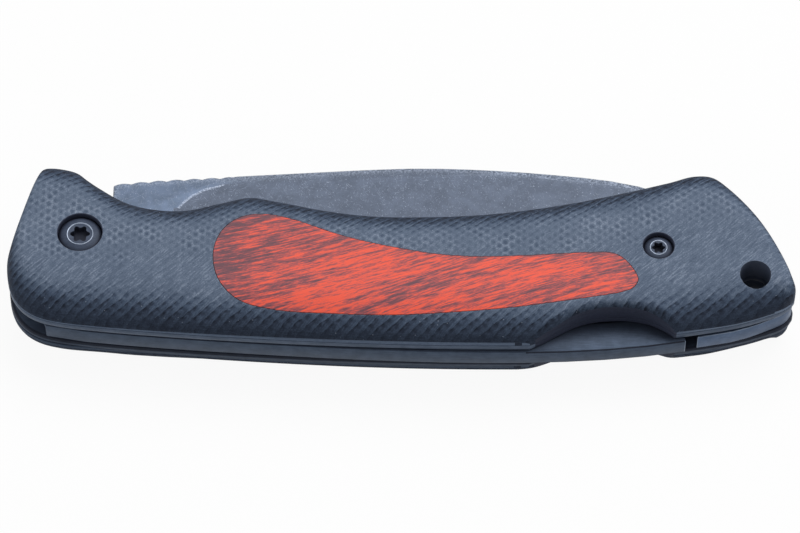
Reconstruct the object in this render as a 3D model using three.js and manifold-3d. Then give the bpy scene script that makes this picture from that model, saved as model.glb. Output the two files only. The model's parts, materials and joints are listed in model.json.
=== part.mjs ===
import * as THREE from "three";
import { mergeVertices } from "three/addons/utils/BufferGeometryUtils.js";
import Module from "manifold-3d";

const wasm = await Module();
wasm.setup();

// A folding pocket knife with a rocking lock bar along its back, lying closed on its rear side.
// Millimetres. +X runs from the pivot end to the butt, +Y towards the open side where the spine of
// the closed blade shows, and +Z through the thickness to the front side. The last lines centre the
// knife over the origin. Until then a place in plan is measured from the middle of the handle.

// Thicknesses, which stack the same way on both sides of the blade.
const scaleThickness = 4.2;
const linerThickness = 1.0;
const washerThickness = 0.3;
const bladeThickness = 2.8;

// The crowned face of a scale: how far in it rolls off from each edge, and the flat edge under it.
const backRoll = 8.5;
const openRoll = 7.5;
const buttRoll = 3.2;
const edgeAtPivotEnd = 0.35;
const edgeMidway = 0.9;
const edgeAtButt = 0.4;

// The wood inlay, its pocket in the scale and the seam between them.
const pocketDepth = 2.4;
const inlaySeam = 0.1;

// The pivot: a barrel with a bored shank, and a screw that runs into it.
const pivot = new THREE.Vector2(-46.5, 1.45);
const pivotHeadRadius = 3.15;
const pivotHeadSunk = 0.3;
const pivotDome = 0.6;
const pivotRim = 1.7;
const pivotRecess = { radius: 1.5, depth: 1.1 };
const barrelRadius = 2.38;
const barrelClearance = 0.06;
const pivotThreadRadius = 1.25;
const pivotThreadLength = 5.6;
const pivotWasherRadius = 6.0;

// The screws and the sleeve that hold the rear half of the handle together.
const bodyScrew = new THREE.Vector2(37.5, -0.9);
const bodyHeadRadius = 2.15;
const bodyHeadSunk = 0.55;
const bodyDome = 0.45;
const bodyRim = 1.2;
const bodyRecess = { radius: 1.1, depth: 0.8 };
const bodyThreadRadius = 1.2;
const sleeveRadius = 2.0;
const sleeveBore = 1.3;

// Clearances that several pieces share.
const headClearance = 0.2;
const shankClearance = 0.1;
const pressClearance = 0.03;

// The hole for a lanyard, and the dowel that keeps the spacer in line.
const lanyardHole = new THREE.Vector2(51.3, -5.8);
const lanyardRadius = 2.25;
const dowel = new THREE.Vector2(49.6, 1.1);
const dowelRadius = 1.0;

// The blade. It lies at its closed place, so its own outline is measured from the pivot.
const tangRadius = 8.4;
const shoulder = 4.1;
const openAngle = THREE.MathUtils.degToRad(173);
const notchFloor = 6.45;
const jimpingDepth = 0.28;
const jimpingPitch = 2.62;
const jimpingCount = 7;
const edgeThickness = 0.5;
const cuttingThickness = 0.1;
const tipThickness = 1.2;

// The lock bar. Its nose rides clear of the tang, seats in the notch and leaves it when pressed.
const lockPin = new THREE.Vector2(-5, -12.95);
const lockPinRadius = 1.5;
const lockWasherRadius = 2.0;
const lockPinClearance = 0.06;
const shoulderGap = 0.2;
const noseLength = 2.8;
const noseRide = 0.1;
const noseClearance = 0.25;
const noseFlare = 0.15;
const seatTravel = 1.8;
const tangClearance = 0.3;
const barEnd = 41.3;
const barProud = 0.35;
const tailProud = 0.2;

// The spacer at the butt, and the leaf spring that is held in its slot.
const barToSpacer = 1.65;
const spacerStart = barEnd + barToSpacer;
const spacerProud = 0.15;
const spacerInset = 0.25;
const spacerGroove = 0.6;
const bossRadius = 3.0;
const springThickness = 0.7;
const springWidth = 2.8;
const springSlotClearance = 0.1;

// Levels through the knife, from its rear face up.
const rearLinerFace = scaleThickness;
const rearGapFace = rearLinerFace + linerThickness;
const bladeRear = rearGapFace + washerThickness;
const bladeFront = bladeRear + bladeThickness;
const frontGapFace = bladeFront + washerThickness;
const frontLinerFace = frontGapFace + linerThickness;
const knifeThickness = frontLinerFace + scaleThickness;
const midPlane = knifeThickness / 2;
const pivotSeat = knifeThickness - pivotHeadSunk - pivotDome - pivotRim;
const bodySeat = knifeThickness - bodyHeadSunk - bodyDome - bodyRim;
const pocketFloor = knifeThickness - pocketDepth;

// The number of straight sides that stand for a full circle.
const bearingSides = 48;
const smallSides = 24;

const colours = {
  laminate: { color: 0x5b6674, roughness: 0.85, metalness: 0 },
  wood: { color: 0xd8472f, roughness: 0.55, metalness: 0 },
  steel: { color: 0x4d5866, roughness: 0.45, metalness: 0.8 },
  stonewashed: { color: 0x6e7b8b, roughness: 0.5, metalness: 0.8 },
  bronze: { color: 0xa8814a, roughness: 0.4, metalness: 0.9 },
  black: { color: 0x22262d, roughness: 0.35, metalness: 0.7 },
};

const { lerp, smoothstep } = THREE.MathUtils;
const at = (x, y) => new THREE.Vector2(x, y);
const cleanUp = (geometry) => {
  geometry.deleteAttribute("normal");
  geometry.deleteAttribute("uv");
  return mergeVertices(geometry, 1e-4);
};

// A closed surface becomes a solid. Flat slivers go, and a surface that faces inwards is turned.
function solid(geometry) {
  const merged = cleanUp(geometry);
  const place = merged.getAttribute("position");
  const corners = Array.from(merged.getIndex().array);
  const point = (k) => new THREE.Vector3().fromBufferAttribute(place, k);
  const triangles = [];
  let volume = 0;
  for (let k = 0; k < corners.length; k += 3) {
    const [a, b, c] = corners.slice(k, k + 3);
    if (a === b || b === c || c === a) continue;
    triangles.push([a, b, c]);
    volume += point(a).dot(point(b).cross(point(c)));
  }
  if (volume < 0) triangles.forEach((t) => t.reverse());
  return new wasm.Manifold(new wasm.Mesh({
    numProp: 3,
    vertProperties: new Float32Array(place.array),
    triVerts: new Uint32Array(triangles.flat()),
  }));
}

// A plate cut to an outline, from one level up to another.
function plate(outline, low, high) {
  const geometry = new THREE.ExtrudeGeometry(new THREE.Shape(outline), {
    depth: high - low,
    bevelEnabled: false,
    steps: 1,
  });
  return solid(geometry.translate(0, 0, low));
}

// A round bar or hole on a centre in plan.
function disc(centre, radius, low, high, sides = smallSides) {
  const geometry = new THREE.CylinderGeometry(radius, radius, high - low, sides);
  geometry.rotateX(Math.PI / 2);
  return solid(geometry.translate(centre.x, centre.y, (low + high) / 2));
}

// A turned piece: its profile is a list of radius and level.
function turned(centre, profile, sides = smallSides) {
  const geometry = new THREE.LatheGeometry(profile.map(([r, z]) => at(r, z)), sides);
  geometry.rotateX(Math.PI / 2);
  return solid(geometry.translate(centre.x, centre.y, 0));
}

// Triangles that fill a ring of points, turning the same way as the ring.
function fillRing(ring) {
  const turn = Math.sign(THREE.ShapeUtils.area(ring));
  return THREE.ShapeUtils.triangulateShape(ring, []).map(([a, b, c]) => {
    const own = THREE.ShapeUtils.area([ring[a], ring[b], ring[c]]);
    return Math.sign(own) === turn ? [a, b, c] : [a, c, b];
  });
}

// A solid skinned over sections. Each section is a ring of points on an upright plane.
function loft(sections) {
  const count = sections[0].length;
  const last = (sections.length - 1) * count;
  const triangles = [];
  for (let s = 0; s < last; s += count) {
    for (let k = 0; k < count; k++) {
      const a = s + k;
      const b = s + (k + 1) % count;
      triangles.push([a, b, b + count], [a, b + count, a + count]);
    }
  }
  const flat = (section) => {
    const start = at(section[0].x, section[0].y);
    return section.map((p) => at(at(p.x, p.y).distanceTo(start), p.z));
  };
  fillRing(flat(sections[0])).forEach(([a, b, c]) => triangles.push([c, b, a]));
  fillRing(flat(sections.at(-1))).forEach(([a, b, c]) => triangles.push([last + a, last + b, last + c]));
  const geometry = new THREE.BufferGeometry();
  const places = sections.flat().flatMap((p) => [p.x, p.y, p.z]);
  geometry.setAttribute("position", new THREE.Float32BufferAttribute(places, 3));
  geometry.setIndex(triangles.flat());
  return solid(geometry);
}

// A smooth line through hand-picked points.
function smooth(points, closed = false) {
  const knots = points.map(([x, y]) => new THREE.Vector3(x, y, 0));
  return new THREE.CatmullRomCurve3(knots, closed, "centripetal");
}
const sample = (curve, steps) => curve.getPoints(steps).map((p) => at(p.x, p.y));

// The height of a line of points at x, for a line whose x only grows.
function heightAt(line, x) {
  const k = Math.max(1, line.findIndex((p) => p.x >= x));
  const [a, b] = [line[k - 1], line[k]];
  return a.y + (b.y - a.y) * (x - a.x) / (b.x - a.x);
}

// A closed outline moved outwards, or inwards where the distance is negative.
function grow(outline, distance) {
  const out = THREE.ShapeUtils.area(outline) > 0 ? 1 : -1;
  return outline.map((p, k) => {
    const before = outline.at(k - 1);
    const after = outline[(k + 1) % outline.length];
    const inwards = p.clone().sub(before).normalize();
    const onwards = after.clone().sub(p).normalize();
    const side = at(inwards.y + onwards.y, -inwards.x - onwards.x).normalize();
    const spread = Math.max(0.5, side.dot(at(onwards.y, -onwards.x)));
    return p.clone().addScaledVector(side, out * distance / spread);
  });
}

// The other side of the knife is the mirror image across its middle plane.
function mirrored(body) {
  const { vertProperties, triVerts } = body.getMesh();
  const geometry = new THREE.BufferGeometry();
  geometry.setAttribute("position", new THREE.BufferAttribute(vertProperties.slice(), 3));
  geometry.setIndex(Array.from(triVerts));
  geometry.scale(1, 1, -1).translate(0, 0, 2 * midPlane);
  return solid(geometry);
}

const knife = new THREE.Group();

function addPiece(name, body, colour) {
  const { vertProperties, triVerts } = body.getMesh();
  const geometry = new THREE.BufferGeometry();
  geometry.setAttribute("position", new THREE.BufferAttribute(vertProperties.slice(), 3));
  geometry.setIndex(Array.from(triVerts));
  geometry.computeVertexNormals();
  const mesh = new THREE.Mesh(geometry, new THREE.MeshStandardMaterial(colour));
  mesh.name = name;
  knife.add(mesh);
}

// Handle outline. The back edge runs from the foot of the front end, round the lower corner and
// along the back to the butt. The open edge runs from the guard horn to the same place.
const backEdge = smooth([
  [-57.2, -2.2], [-56.8, -5.2], [-55.9, -7.6], [-54.4, -9.5], [-52.4, -10.8], [-49.5, -11.65],
  [-43.4, -12.5], [-31.7, -13.6], [-17, -14.6], [-3, -15.25], [11, -15.55], [22, -15.45],
  [31, -14.85], [39.5, -13.65], [48.8, -11.95], [53.4, -10.45], [55.5, -9.55], [56.5, -8.75],
]);
const openEdge = smooth([
  [-53.3, 13.2], [-52.8, 14.1], [-51.6, 14.65], [-50, 14.6], [-47.9, 13.95], [-44, 11.2],
  [-40.3, 8.8], [-36.5, 7.6], [-31.5, 7.3], [-26.5, 8.5], [-22, 9.55], [-18, 8.8],
  [-11, 7.15], [-4, 6.15], [3, 6], [12, 6.4], [22, 7.8], [32, 10.05], [39.5, 12.2],
  [43.3, 13.45], [45.9, 13.3], [48.3, 11.2], [52, 6.4], [55, 0.6], [56.8, -4.6], [57.3, -6.6],
  [57.15, -7.7],
]);

// Stations across the handle. Each pairs a point of the back edge with one of the open edge: fanned
// round both ends, and square to the handle between them.
function stationsAcross() {
  const fine = 600;
  const back = sample(backEdge, fine);
  const open = sample(openEdge, fine);
  const firstSquare = -50;
  const lastSquare = 44;
  const frontSteps = 6;
  const squareSteps = 25;
  const buttSteps = 9;
  const stepAt = (line, x) => line.findIndex((p) => p.x >= x);
  const [back1, back2] = [stepAt(back, firstSquare), stepAt(back, lastSquare)];
  const [open1, open2] = [stepAt(open, firstSquare), stepAt(open, lastSquare)];
  const stations = [];
  for (let k = 0; k < frontSteps; k++) {
    const share = k / frontSteps;
    stations.push([back[Math.round(back1 * share)], open[Math.round(open1 * share)]]);
  }
  for (let k = 0; k < squareSteps; k++) {
    const x = firstSquare + (lastSquare - firstSquare) * k / squareSteps;
    stations.push([at(x, heightAt(back, x)), at(x, heightAt(open, x))]);
  }
  for (let k = 0; k <= buttSteps; k++) {
    const share = k / buttSteps;
    const b = back[Math.round(back2 + (fine - back2) * share)];
    const o = open[Math.round(open2 + (fine - open2) * share)];
    stations.push([b, o]);
  }
  return stations;
}
const stations = stationsAcross();
const handleOutline = [...stations.map(([b]) => b), ...stations.map(([, o]) => o).reverse()];
const backLine = sample(backEdge, 200);

// The thumb cutout, where both scales and liners open on the tail of the lock bar.
const cutoutOutline = [
  at(17.6, -20),
  ...sample(smooth([
    [17.9, -15.9], [20, -14.9], [22.9, -13.2], [25.1, -11.95], [27.3, -11.15], [30.2, -10.75],
    [33.1, -10.75], [35.9, -11.35], [38.1, -12.5], [40.3, -14.2],
  ]), 18),
  at(41, -20),
];

// The crown of the front scale over its stations, with the roll-off as a quarter of an ellipse.
function crownedBlank() {
  const rollSteps = 5;
  const sections = stations.map(([back, open], k) => {
    const along = k / (stations.length - 1);
    const leading = lerp(edgeAtPivotEnd, edgeMidway, smoothstep(along, 0.1, 0.5));
    const edge = lerp(leading, edgeAtButt, smoothstep(along, 0.7, 0.8));
    const toButt = smoothstep(along, 0.75, 1);
    const width = back.distanceTo(open);
    const backWidth = Math.min(lerp(backRoll, buttRoll, toButt), 0.45 * width);
    const openWidth = Math.min(lerp(openRoll, buttRoll, toButt), 0.45 * width);
    const across = open.clone().sub(back).normalize();
    const low = frontLinerFace + edge;
    const rise = (knifeThickness - low) * Math.sqrt(Math.min(1, width / (2 * buttRoll)));
    const section = [];
    const put = (distance, level) => {
      const p = back.clone().addScaledVector(across, distance);
      section.push(new THREE.Vector3(p.x, p.y, level));
    };
    put(0, frontLinerFace);
    for (let s = 0; s <= rollSteps; s++) {
      const turn = Math.PI / 2 * s / rollSteps;
      put(backWidth * (1 - Math.cos(turn)), low + rise * Math.sin(turn));
    }
    for (let s = rollSteps; s >= 0; s--) {
      const turn = Math.PI / 2 * s / rollSteps;
      put(width - openWidth * (1 - Math.cos(turn)), low + rise * Math.sin(turn));
    }
    put(width, frontLinerFace);
    return section;
  });
  return loft(sections);
}

// The inlay's teardrop outline, widest towards the pivot end.
const inlayOutline = sample(smooth([
  [-27.1, -1.9], [-26.3, -6.6], [-23.5, -9.9], [-18.4, -11.5], [-9.6, -12.2], [-0.8, -12.45],
  [8.8, -12], [17.6, -11.2], [26.4, -9.9], [31.9, -8.9], [33.7, -8.1], [34.4, -6.8], [33.9, -5.2],
  [32.3, -3], [30.6, -2.1], [26, -2.1], [17.7, -2.6], [11, -2.75], [5.5, -2.35], [0, -1.3],
  [-5.3, 0], [-9.7, 1.5], [-15.3, 3.9], [-19.4, 4.9], [-23.1, 4.35], [-25.8, 2],
], true), 52).slice(0, -1);

function frontScale(blank) {
  const top = knifeThickness + 1;
  return blank
    .subtract(plate(cutoutOutline, frontLinerFace - 1, top))
    .subtract(plate(inlayOutline, pocketFloor, top))
    .subtract(disc(pivot, pivotHeadRadius + headClearance, pivotSeat, top, bearingSides))
    .subtract(disc(pivot, barrelRadius + shankClearance, frontLinerFace - 1, top, bearingSides))
    .subtract(disc(bodyScrew, bodyHeadRadius + headClearance, bodySeat, top))
    .subtract(disc(bodyScrew, bodyThreadRadius + shankClearance, frontLinerFace - 1, top))
    .subtract(disc(lanyardHole, lanyardRadius, frontLinerFace - 1, top));
}

function frontLiner() {
  const [low, high] = [frontGapFace - 1, frontLinerFace + 1];
  return plate(handleOutline, frontGapFace, frontLinerFace)
    .subtract(plate(cutoutOutline, low, high))
    .subtract(disc(pivot, barrelRadius + shankClearance, low, high, bearingSides))
    .subtract(disc(lockPin, lockPinRadius + pressClearance, low, high))
    .subtract(disc(bodyScrew, sleeveRadius + pressClearance, low, high))
    .subtract(disc(dowel, dowelRadius + pressClearance, low, high))
    .subtract(disc(lanyardHole, lanyardRadius, low, high));
}

const blank = crownedBlank();
const scale = frontScale(blank);
const liner = frontLiner();
const inlay = blank.intersect(plate(grow(inlayOutline, -inlaySeam), pocketFloor, knifeThickness + 1));

addPiece("front_scale", scale, colours.laminate);
addPiece("rear_scale", mirrored(scale), colours.laminate);
addPiece("front_inlay", inlay, colours.wood);
addPiece("rear_inlay", mirrored(inlay), colours.wood);
addPiece("front_liner", liner, colours.steel);
addPiece("rear_liner", mirrored(liner), colours.steel);

// Fasteners. A head is a rim with a low dome on it, and a six-lobed recess in the dome.
function domeProfile(radius, rimLevel, rise) {
  const steps = 4;
  const profile = [];
  for (let s = 0; s <= steps; s++) {
    const turn = Math.PI / 2 * s / steps;
    profile.push([radius * Math.cos(turn), rimLevel + rise * Math.sin(turn)]);
  }
  profile[steps][0] = 0;
  return profile;
}

function lobedRecess(centre, radius, floor, top) {
  const points = 24;
  const lobeDepth = 0.12;
  const outline = [];
  for (let k = 0; k < points; k++) {
    const turn = 2 * Math.PI * k / points;
    const reach = radius * (1 - lobeDepth + lobeDepth * Math.cos(6 * turn));
    outline.push(at(centre.x + reach * Math.cos(turn), centre.y + reach * Math.sin(turn)));
  }
  return plate(outline, floor, top);
}

function pivotScrew() {
  const tip = pivotSeat - pivotThreadLength;
  const rim = pivotSeat + pivotRim;
  const top = knifeThickness - pivotHeadSunk;
  return turned(pivot, [
    [0, tip], [pivotThreadRadius, tip], [pivotThreadRadius, pivotSeat], [pivotHeadRadius, pivotSeat],
    ...domeProfile(pivotHeadRadius, rim, pivotDome),
  ], 32).subtract(lobedRecess(pivot, pivotRecess.radius, top - pivotRecess.depth, top + 1));
}

function pivotBarrel() {
  const seat = 2 * midPlane - pivotSeat;
  const rim = seat - pivotRim;
  const end = pivotSeat - shankClearance;
  const boreFloor = rearGapFace - 0.2;
  const threadBore = pivotThreadRadius + pressClearance;
  const head = domeProfile(pivotHeadRadius, 0, pivotDome).map(([r, z]) => [r, rim - z]).reverse();
  return turned(pivot, [
    ...head, [pivotHeadRadius, seat], [barrelRadius, seat], [barrelRadius, end], [threadBore, end],
    [threadBore, boreFloor], [0, boreFloor],
  ], bearingSides).subtract(lobedRecess(pivot, pivotRecess.radius, -1, pivotHeadSunk + pivotRecess.depth));
}

function bodyScrewBody() {
  const tip = midPlane + 0.4;
  const rim = bodySeat + bodyRim;
  const top = knifeThickness - bodyHeadSunk;
  return turned(bodyScrew, [
    [0, tip], [bodyThreadRadius, tip], [bodyThreadRadius, bodySeat], [bodyHeadRadius, bodySeat],
    ...domeProfile(bodyHeadRadius, rim, bodyDome),
  ]).subtract(lobedRecess(bodyScrew, bodyRecess.radius, top - bodyRecess.depth, top + 1));
}

function ring(centre, bore, radius, low, high, sides) {
  return turned(centre, [[bore, low], [radius, low], [radius, high], [bore, high], [bore, low]], sides);
}

const barrelBore = barrelRadius + barrelClearance;
const frontPivotWasher = ring(pivot, barrelBore, pivotWasherRadius, bladeFront, frontGapFace, bearingSides);
const lockBore = lockPinRadius + lockPinClearance;
const frontLockWasher = ring(lockPin, lockBore, lockWasherRadius, bladeFront, frontGapFace, smallSides);
const screw = bodyScrewBody();

addPiece("pivot_screw", pivotScrew(), colours.black);
addPiece("pivot_barrel", pivotBarrel(), colours.black);
addPiece("front_washer", frontPivotWasher, colours.bronze);
addPiece("rear_washer", mirrored(frontPivotWasher), colours.bronze);
addPiece("front_body_screw", screw, colours.black);
addPiece("rear_body_screw", mirrored(screw), colours.black);
const sleeve = ring(bodyScrew, sleeveBore, sleeveRadius, rearLinerFace, frontLinerFace, smallSides);
addPiece("body_sleeve", sleeve, colours.steel);
addPiece("lock_pin", disc(lockPin, lockPinRadius, rearLinerFace, frontLinerFace), colours.steel);
addPiece("front_lock_washer", frontLockWasher, colours.bronze);
addPiece("rear_lock_washer", mirrored(frontLockWasher), colours.bronze);
addPiece("spacer_dowel", disc(dowel, dowelRadius, rearLinerFace, frontLinerFace), colours.steel);

// The turns that take a point from the closed blade to the open one, and the bar to its seat.
const turnAbout = (centre, angle) => (p) => p.clone().rotateAround(centre, angle);
const fromPivot = (u, v) => at(pivot.x + u, pivot.y + v);
const opened = turnAbout(pivot, openAngle);

// The nose and the front end of the bar are drawn on the tang, where the nose meets the notch, and
// then turned to where the open blade brings that notch.
const noseTip = tangRadius + noseRide;
const noseFront = shoulder - shoulderGap;
const noseBack = noseFront - noseLength;
const barOutward = 11.9;
const seatAngle = -seatTravel / (lockPin.x - opened(fromPivot(noseFront, noseTip)).x);
const seated = turnAbout(lockPin, seatAngle);
const hookDepth = seatTravel + tangClearance - noseRide;

function barOutline() {
  const cornerEase = 0.5;
  const outerStart = opened(fromPivot(noseFront, barOutward)).x + cornerEase;
  const outerPoints = 16;
  const outer = [];
  for (let k = 0; k <= outerPoints; k++) {
    const x = outerStart + (barEnd - outerStart) * k / outerPoints;
    const proud = barProud * smoothstep(x, -30, 15) + tailProud * smoothstep(x, 25, 40);
    outer.push(at(x, heightAt(backLine, x) - proud));
  }
  const hookRoot = pivot.y - noseTip - hookDepth;
  const inner = sample(smooth([
    [-36, -8.75], [-28, -8.85], [-15, -9.6], [0, -10.6], [12, -11], [24, -11], [33, -10.4],
    [barEnd - 1.2, -9.35],
  ]), 12).reverse();
  return [
    opened(fromPivot(noseFront, noseTip)),
    opened(fromPivot(noseFront, barOutward - 0.5)),
    opened(fromPivot(noseFront - 0.35, barOutward)),
    ...outer,
    ...inner,
    at(-40, hookRoot),
    at(opened(fromPivot(noseBack, noseTip)).x + noseFlare, hookRoot),
    opened(fromPivot(noseBack, noseTip)),
  ];
}

const bar = plate(barOutline(), bladeRear, bladeFront)
  .subtract(disc(lockPin, lockPinRadius + lockPinClearance, bladeRear - 1, bladeFront + 1));
addPiece("lock_bar", bar, colours.steel);

// The blade's outline, from the shoulder along the spine to the tip, back along the edge to the
// tang, and round the tang to the notch.
const spineLine = sample(smooth([
  [shoulder, 12.4], [10, 13.05], [20, 13.7], [32.3, 14.45], [42, 15.05], [50, 15.3], [60.7, 14.9],
  [69, 14.1], [78.5, 12.75], [85, 10.95], [90.5, 8.05],
]), 200);
const edgeLine = sample(smooth([
  [13.6, -8.6], [24, -8.6], [36, -8.6], [48, -8.4], [58, -7.6], [66, -6.1], [73, -3.9],
  [79, -1.2], [84, 1.95], [87.8, 5], [90.5, 8.05],
]), 200);

function bladeOutline() {
  const outline = [];
  const jimpingEnd = shoulder + jimpingCount * jimpingPitch;
  const perHump = 4;
  for (let k = 0; k < jimpingCount * perHump; k++) {
    const u = shoulder + jimpingPitch * k / perHump;
    const dip = jimpingDepth * (1 - Math.abs(Math.sin(Math.PI * k / perHump)));
    outline.push(at(u, heightAt(spineLine, u) - dip));
  }
  const spineSteps = 16;
  const tip = spineLine.at(-1);
  for (let k = 0; k <= spineSteps; k++) {
    const u = jimpingEnd + (tip.x - jimpingEnd) * k / spineSteps;
    outline.push(at(u, heightAt(spineLine, u)));
  }
  const edge = edgeLine.filter((p, k) => k % 10 === 0).slice(0, -1).reverse();
  const ricasso = [at(12.9, -8.45), at(12.1, -7.5), at(10.9, -7), at(9.4, -7.2), at(7.6, -7.45)];
  outline.push(...edge, ...ricasso);
  const noseRoom = noseClearance + noseFlare / 2 + seated(lockPin.clone().add(at(0, 6))).x - lockPin.x;
  const notchSide = noseBack - noseRoom;
  const arcStart = THREE.MathUtils.degToRad(-58);
  const arcEnd = Math.acos(notchSide / tangRadius) - 2 * Math.PI;
  const arcSteps = 40;
  for (let k = 0; k <= arcSteps; k++) {
    const turn = arcStart + (arcEnd - arcStart) * k / arcSteps;
    outline.push(at(tangRadius * Math.cos(turn), tangRadius * Math.sin(turn)));
  }
  outline.push(at(notchSide, notchFloor), at(shoulder, notchFloor));
  return outline.map((p) => fromPivot(p.x, p.y));
}

// What the front grind takes off: nothing before the plunge, then a flat from just under the spine
// down to the edge, a steeper bevel at the edge, and a taper of the whole blade towards its tip.
function frontGrind() {
  const clear = 0.02;
  const above = bladeFront + 1;
  const plungeStart = 13.1;
  const taperStart = 55;
  const tip = edgeLine.at(-1);
  const plungeCurve = [[0, 6.4], [0.8, 8.4], [2.5, 10.4], [4.7, 11.8], [7.7, 12.8], [11.9, 13.45]];
  const grindLine = sample(smooth([
    ...plungeCurve.map(([u, v]) => [plungeStart + u, v]),
    [32, 14], [42, 14.55], [50, 14.8], [60.7, 14.4], [69, 13.6], [78.5, 12.2], [85, 10.2],
    [tip.x, 7.4], [tip.x + 1.5, 6.3],
  ]), 200);
  const shares = [
    0.0102, 0.0204, 0.0344, 0.0573, 0.0943, 0.1516, 0.228, 0.3172, 0.4191, 0.521, 0.6229, 0.7121,
    0.7885, 0.8522, 0.9032, 0.9414, 0.9694, 1,
  ];
  const along = shares.map((share) => lerp(plungeStart, tip.x + 1.1, share));
  const sections = along.map((u) => {
    const inTip = Math.min(u, tip.x);
    const spine = heightAt(spineLine, inTip) + 1.5;
    const grindTop = Math.min(heightAt(grindLine, u), spine - 1.6);
    const edge = heightAt(edgeLine, inTip) - (u > tip.x ? 4 : 0);
    const taper = smoothstep(u, taperStart, tip.x + 8);
    const spineLevel = lerp(bladeFront + clear, midPlane + tipThickness / 2, taper);
    return [
      at(spine, above), at(spine, spineLevel), at(grindTop, spineLevel),
      at(Math.min(edge + 0.9, grindTop - 0.2), midPlane + edgeThickness / 2),
      at(edge, midPlane + cuttingThickness / 2), at(edge - 0.6, midPlane + cuttingThickness / 2),
      at(edge - 0.6, above),
    ].map((p) => new THREE.Vector3(pivot.x + u, pivot.y + p.x, p.y));
  });
  const plunge = sections[0].map((p) => p.clone().setX(pivot.x + plungeStart));
  plunge.forEach((p) => p.setZ(Math.max(p.z, bladeFront + clear)));
  return loft([plunge, ...sections]);
}

function bladeBody() {
  const grind = frontGrind();
  const nose = [
    fromPivot(noseFront, noseTip + hookDepth), fromPivot(noseFront, noseTip),
    fromPivot(noseBack, noseTip), fromPivot(noseBack - 2 * noseFlare, noseTip + hookDepth),
  ].map(opened).map(seated);
  const [low, high] = [bladeRear - 1, bladeFront + 1];
  return plate(bladeOutline(), bladeRear, bladeFront)
    .subtract(plate(grow(nose, noseClearance), low, high))
    .subtract(disc(pivot, barrelBore, low, high, bearingSides))
    .subtract(grind)
    .subtract(mirrored(grind));
}
addPiece("blade", bladeBody(), colours.stonewashed);

// The leaf spring, held by its root in the spacer and bearing on the tail of the lock bar.
const springPath = smooth([
  [47.6, -5.1], [43, -5.3], [37, -6.5], [30, -8.2], [23.5, -9.7], [18.5, -10.35],
]);

function stripAlong(points, halfWidth) {
  const sides = [1, -1].map((side) => points.map((p, k) => {
    const before = points[Math.max(0, k - 1)];
    const after = points[Math.min(points.length - 1, k + 1)];
    const run = after.clone().sub(before).normalize();
    return p.clone().add(at(-run.y, run.x).multiplyScalar(side * halfWidth));
  }));
  return [...sides[0], ...sides[1].reverse()];
}

const springLine = sample(springPath, 15);
const springLow = midPlane - springWidth / 2;
const spring = plate(stripAlong(springLine, springThickness / 2), springLow, springLow + springWidth);
addPiece("lock_spring", spring, colours.steel);

// The spacer fills the butt between the liners and reaches in to the body screw. Only its middle,
// as thick as the blade, comes out to the edge, which leaves a fine groove along each liner.
function spacerOutline(backStep, buttStep) {
  const atBack = grow(handleOutline, backStep);
  const atButt = grow(handleOutline, buttStep);
  const edge = atBack.map((p, k) => p.lerp(atButt[k], smoothstep(p.x, 48, 56)));
  const half = stations.length;
  const outer = edge.filter((p, k) => k < half && p.x > spacerStart + 0.5);
  const butt = edge.filter((p, k) => k >= half && p.y < 5.5 && p.x > bodyScrew.x + 8);
  return [
    at(spacerStart, heightAt(backLine, spacerStart) - backStep),
    ...outer,
    ...butt,
    at(44, 2.8), at(bodyScrew.x, bodyScrew.y + bossRadius - 0.05),
    at(bodyScrew.x, bodyScrew.y - bossRadius + 0.05), at(spacerStart, -4.05),
  ];
}

const slotPath = [at(springLine[0].x + 0.4, springLine[0].y), ...springLine.filter((p) => p.x > 41)];
const [gapLow, gapHigh] = [rearGapFace - 1, frontGapFace + 1];
const spacer = plate(spacerOutline(-spacerGroove, -spacerGroove), rearGapFace, frontGapFace)
  .add(plate(spacerOutline(spacerProud, -spacerInset), bladeRear, bladeFront))
  .add(disc(bodyScrew, bossRadius, rearGapFace, frontGapFace, bearingSides))
  .subtract(plate(stripAlong(slotPath, springThickness / 2 + springSlotClearance), gapLow, gapHigh))
  .subtract(disc(bodyScrew, sleeveRadius + pressClearance, gapLow, gapHigh))
  .subtract(disc(dowel, dowelRadius + pressClearance, gapLow, gapHigh))
  .subtract(disc(lanyardHole, lanyardRadius, gapLow, gapHigh));
addPiece("back_spacer", spacer, colours.steel);

// The knife lies centred over the origin, on its rear face.
const box = new THREE.Box3().setFromObject(knife);
const middle = box.getCenter(new THREE.Vector3());
knife.position.set(-middle.x, -middle.y, -box.min.z);

export default knife;
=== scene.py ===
# %% [markdown]
# # A folding pocket knife, dressed around its CAD frame
# The knife lies closed on its rear side. The CAD model gives every piece its place and the bodies
# that move: the handle, the blade and the lock bar. This lesson models each visible piece more
# finely around that frame, and gives it the finish that it has on a real knife.

# %% Load the frame
import json
import math

import bmesh
import bpy
from mathutils import Matrix, Vector


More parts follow.
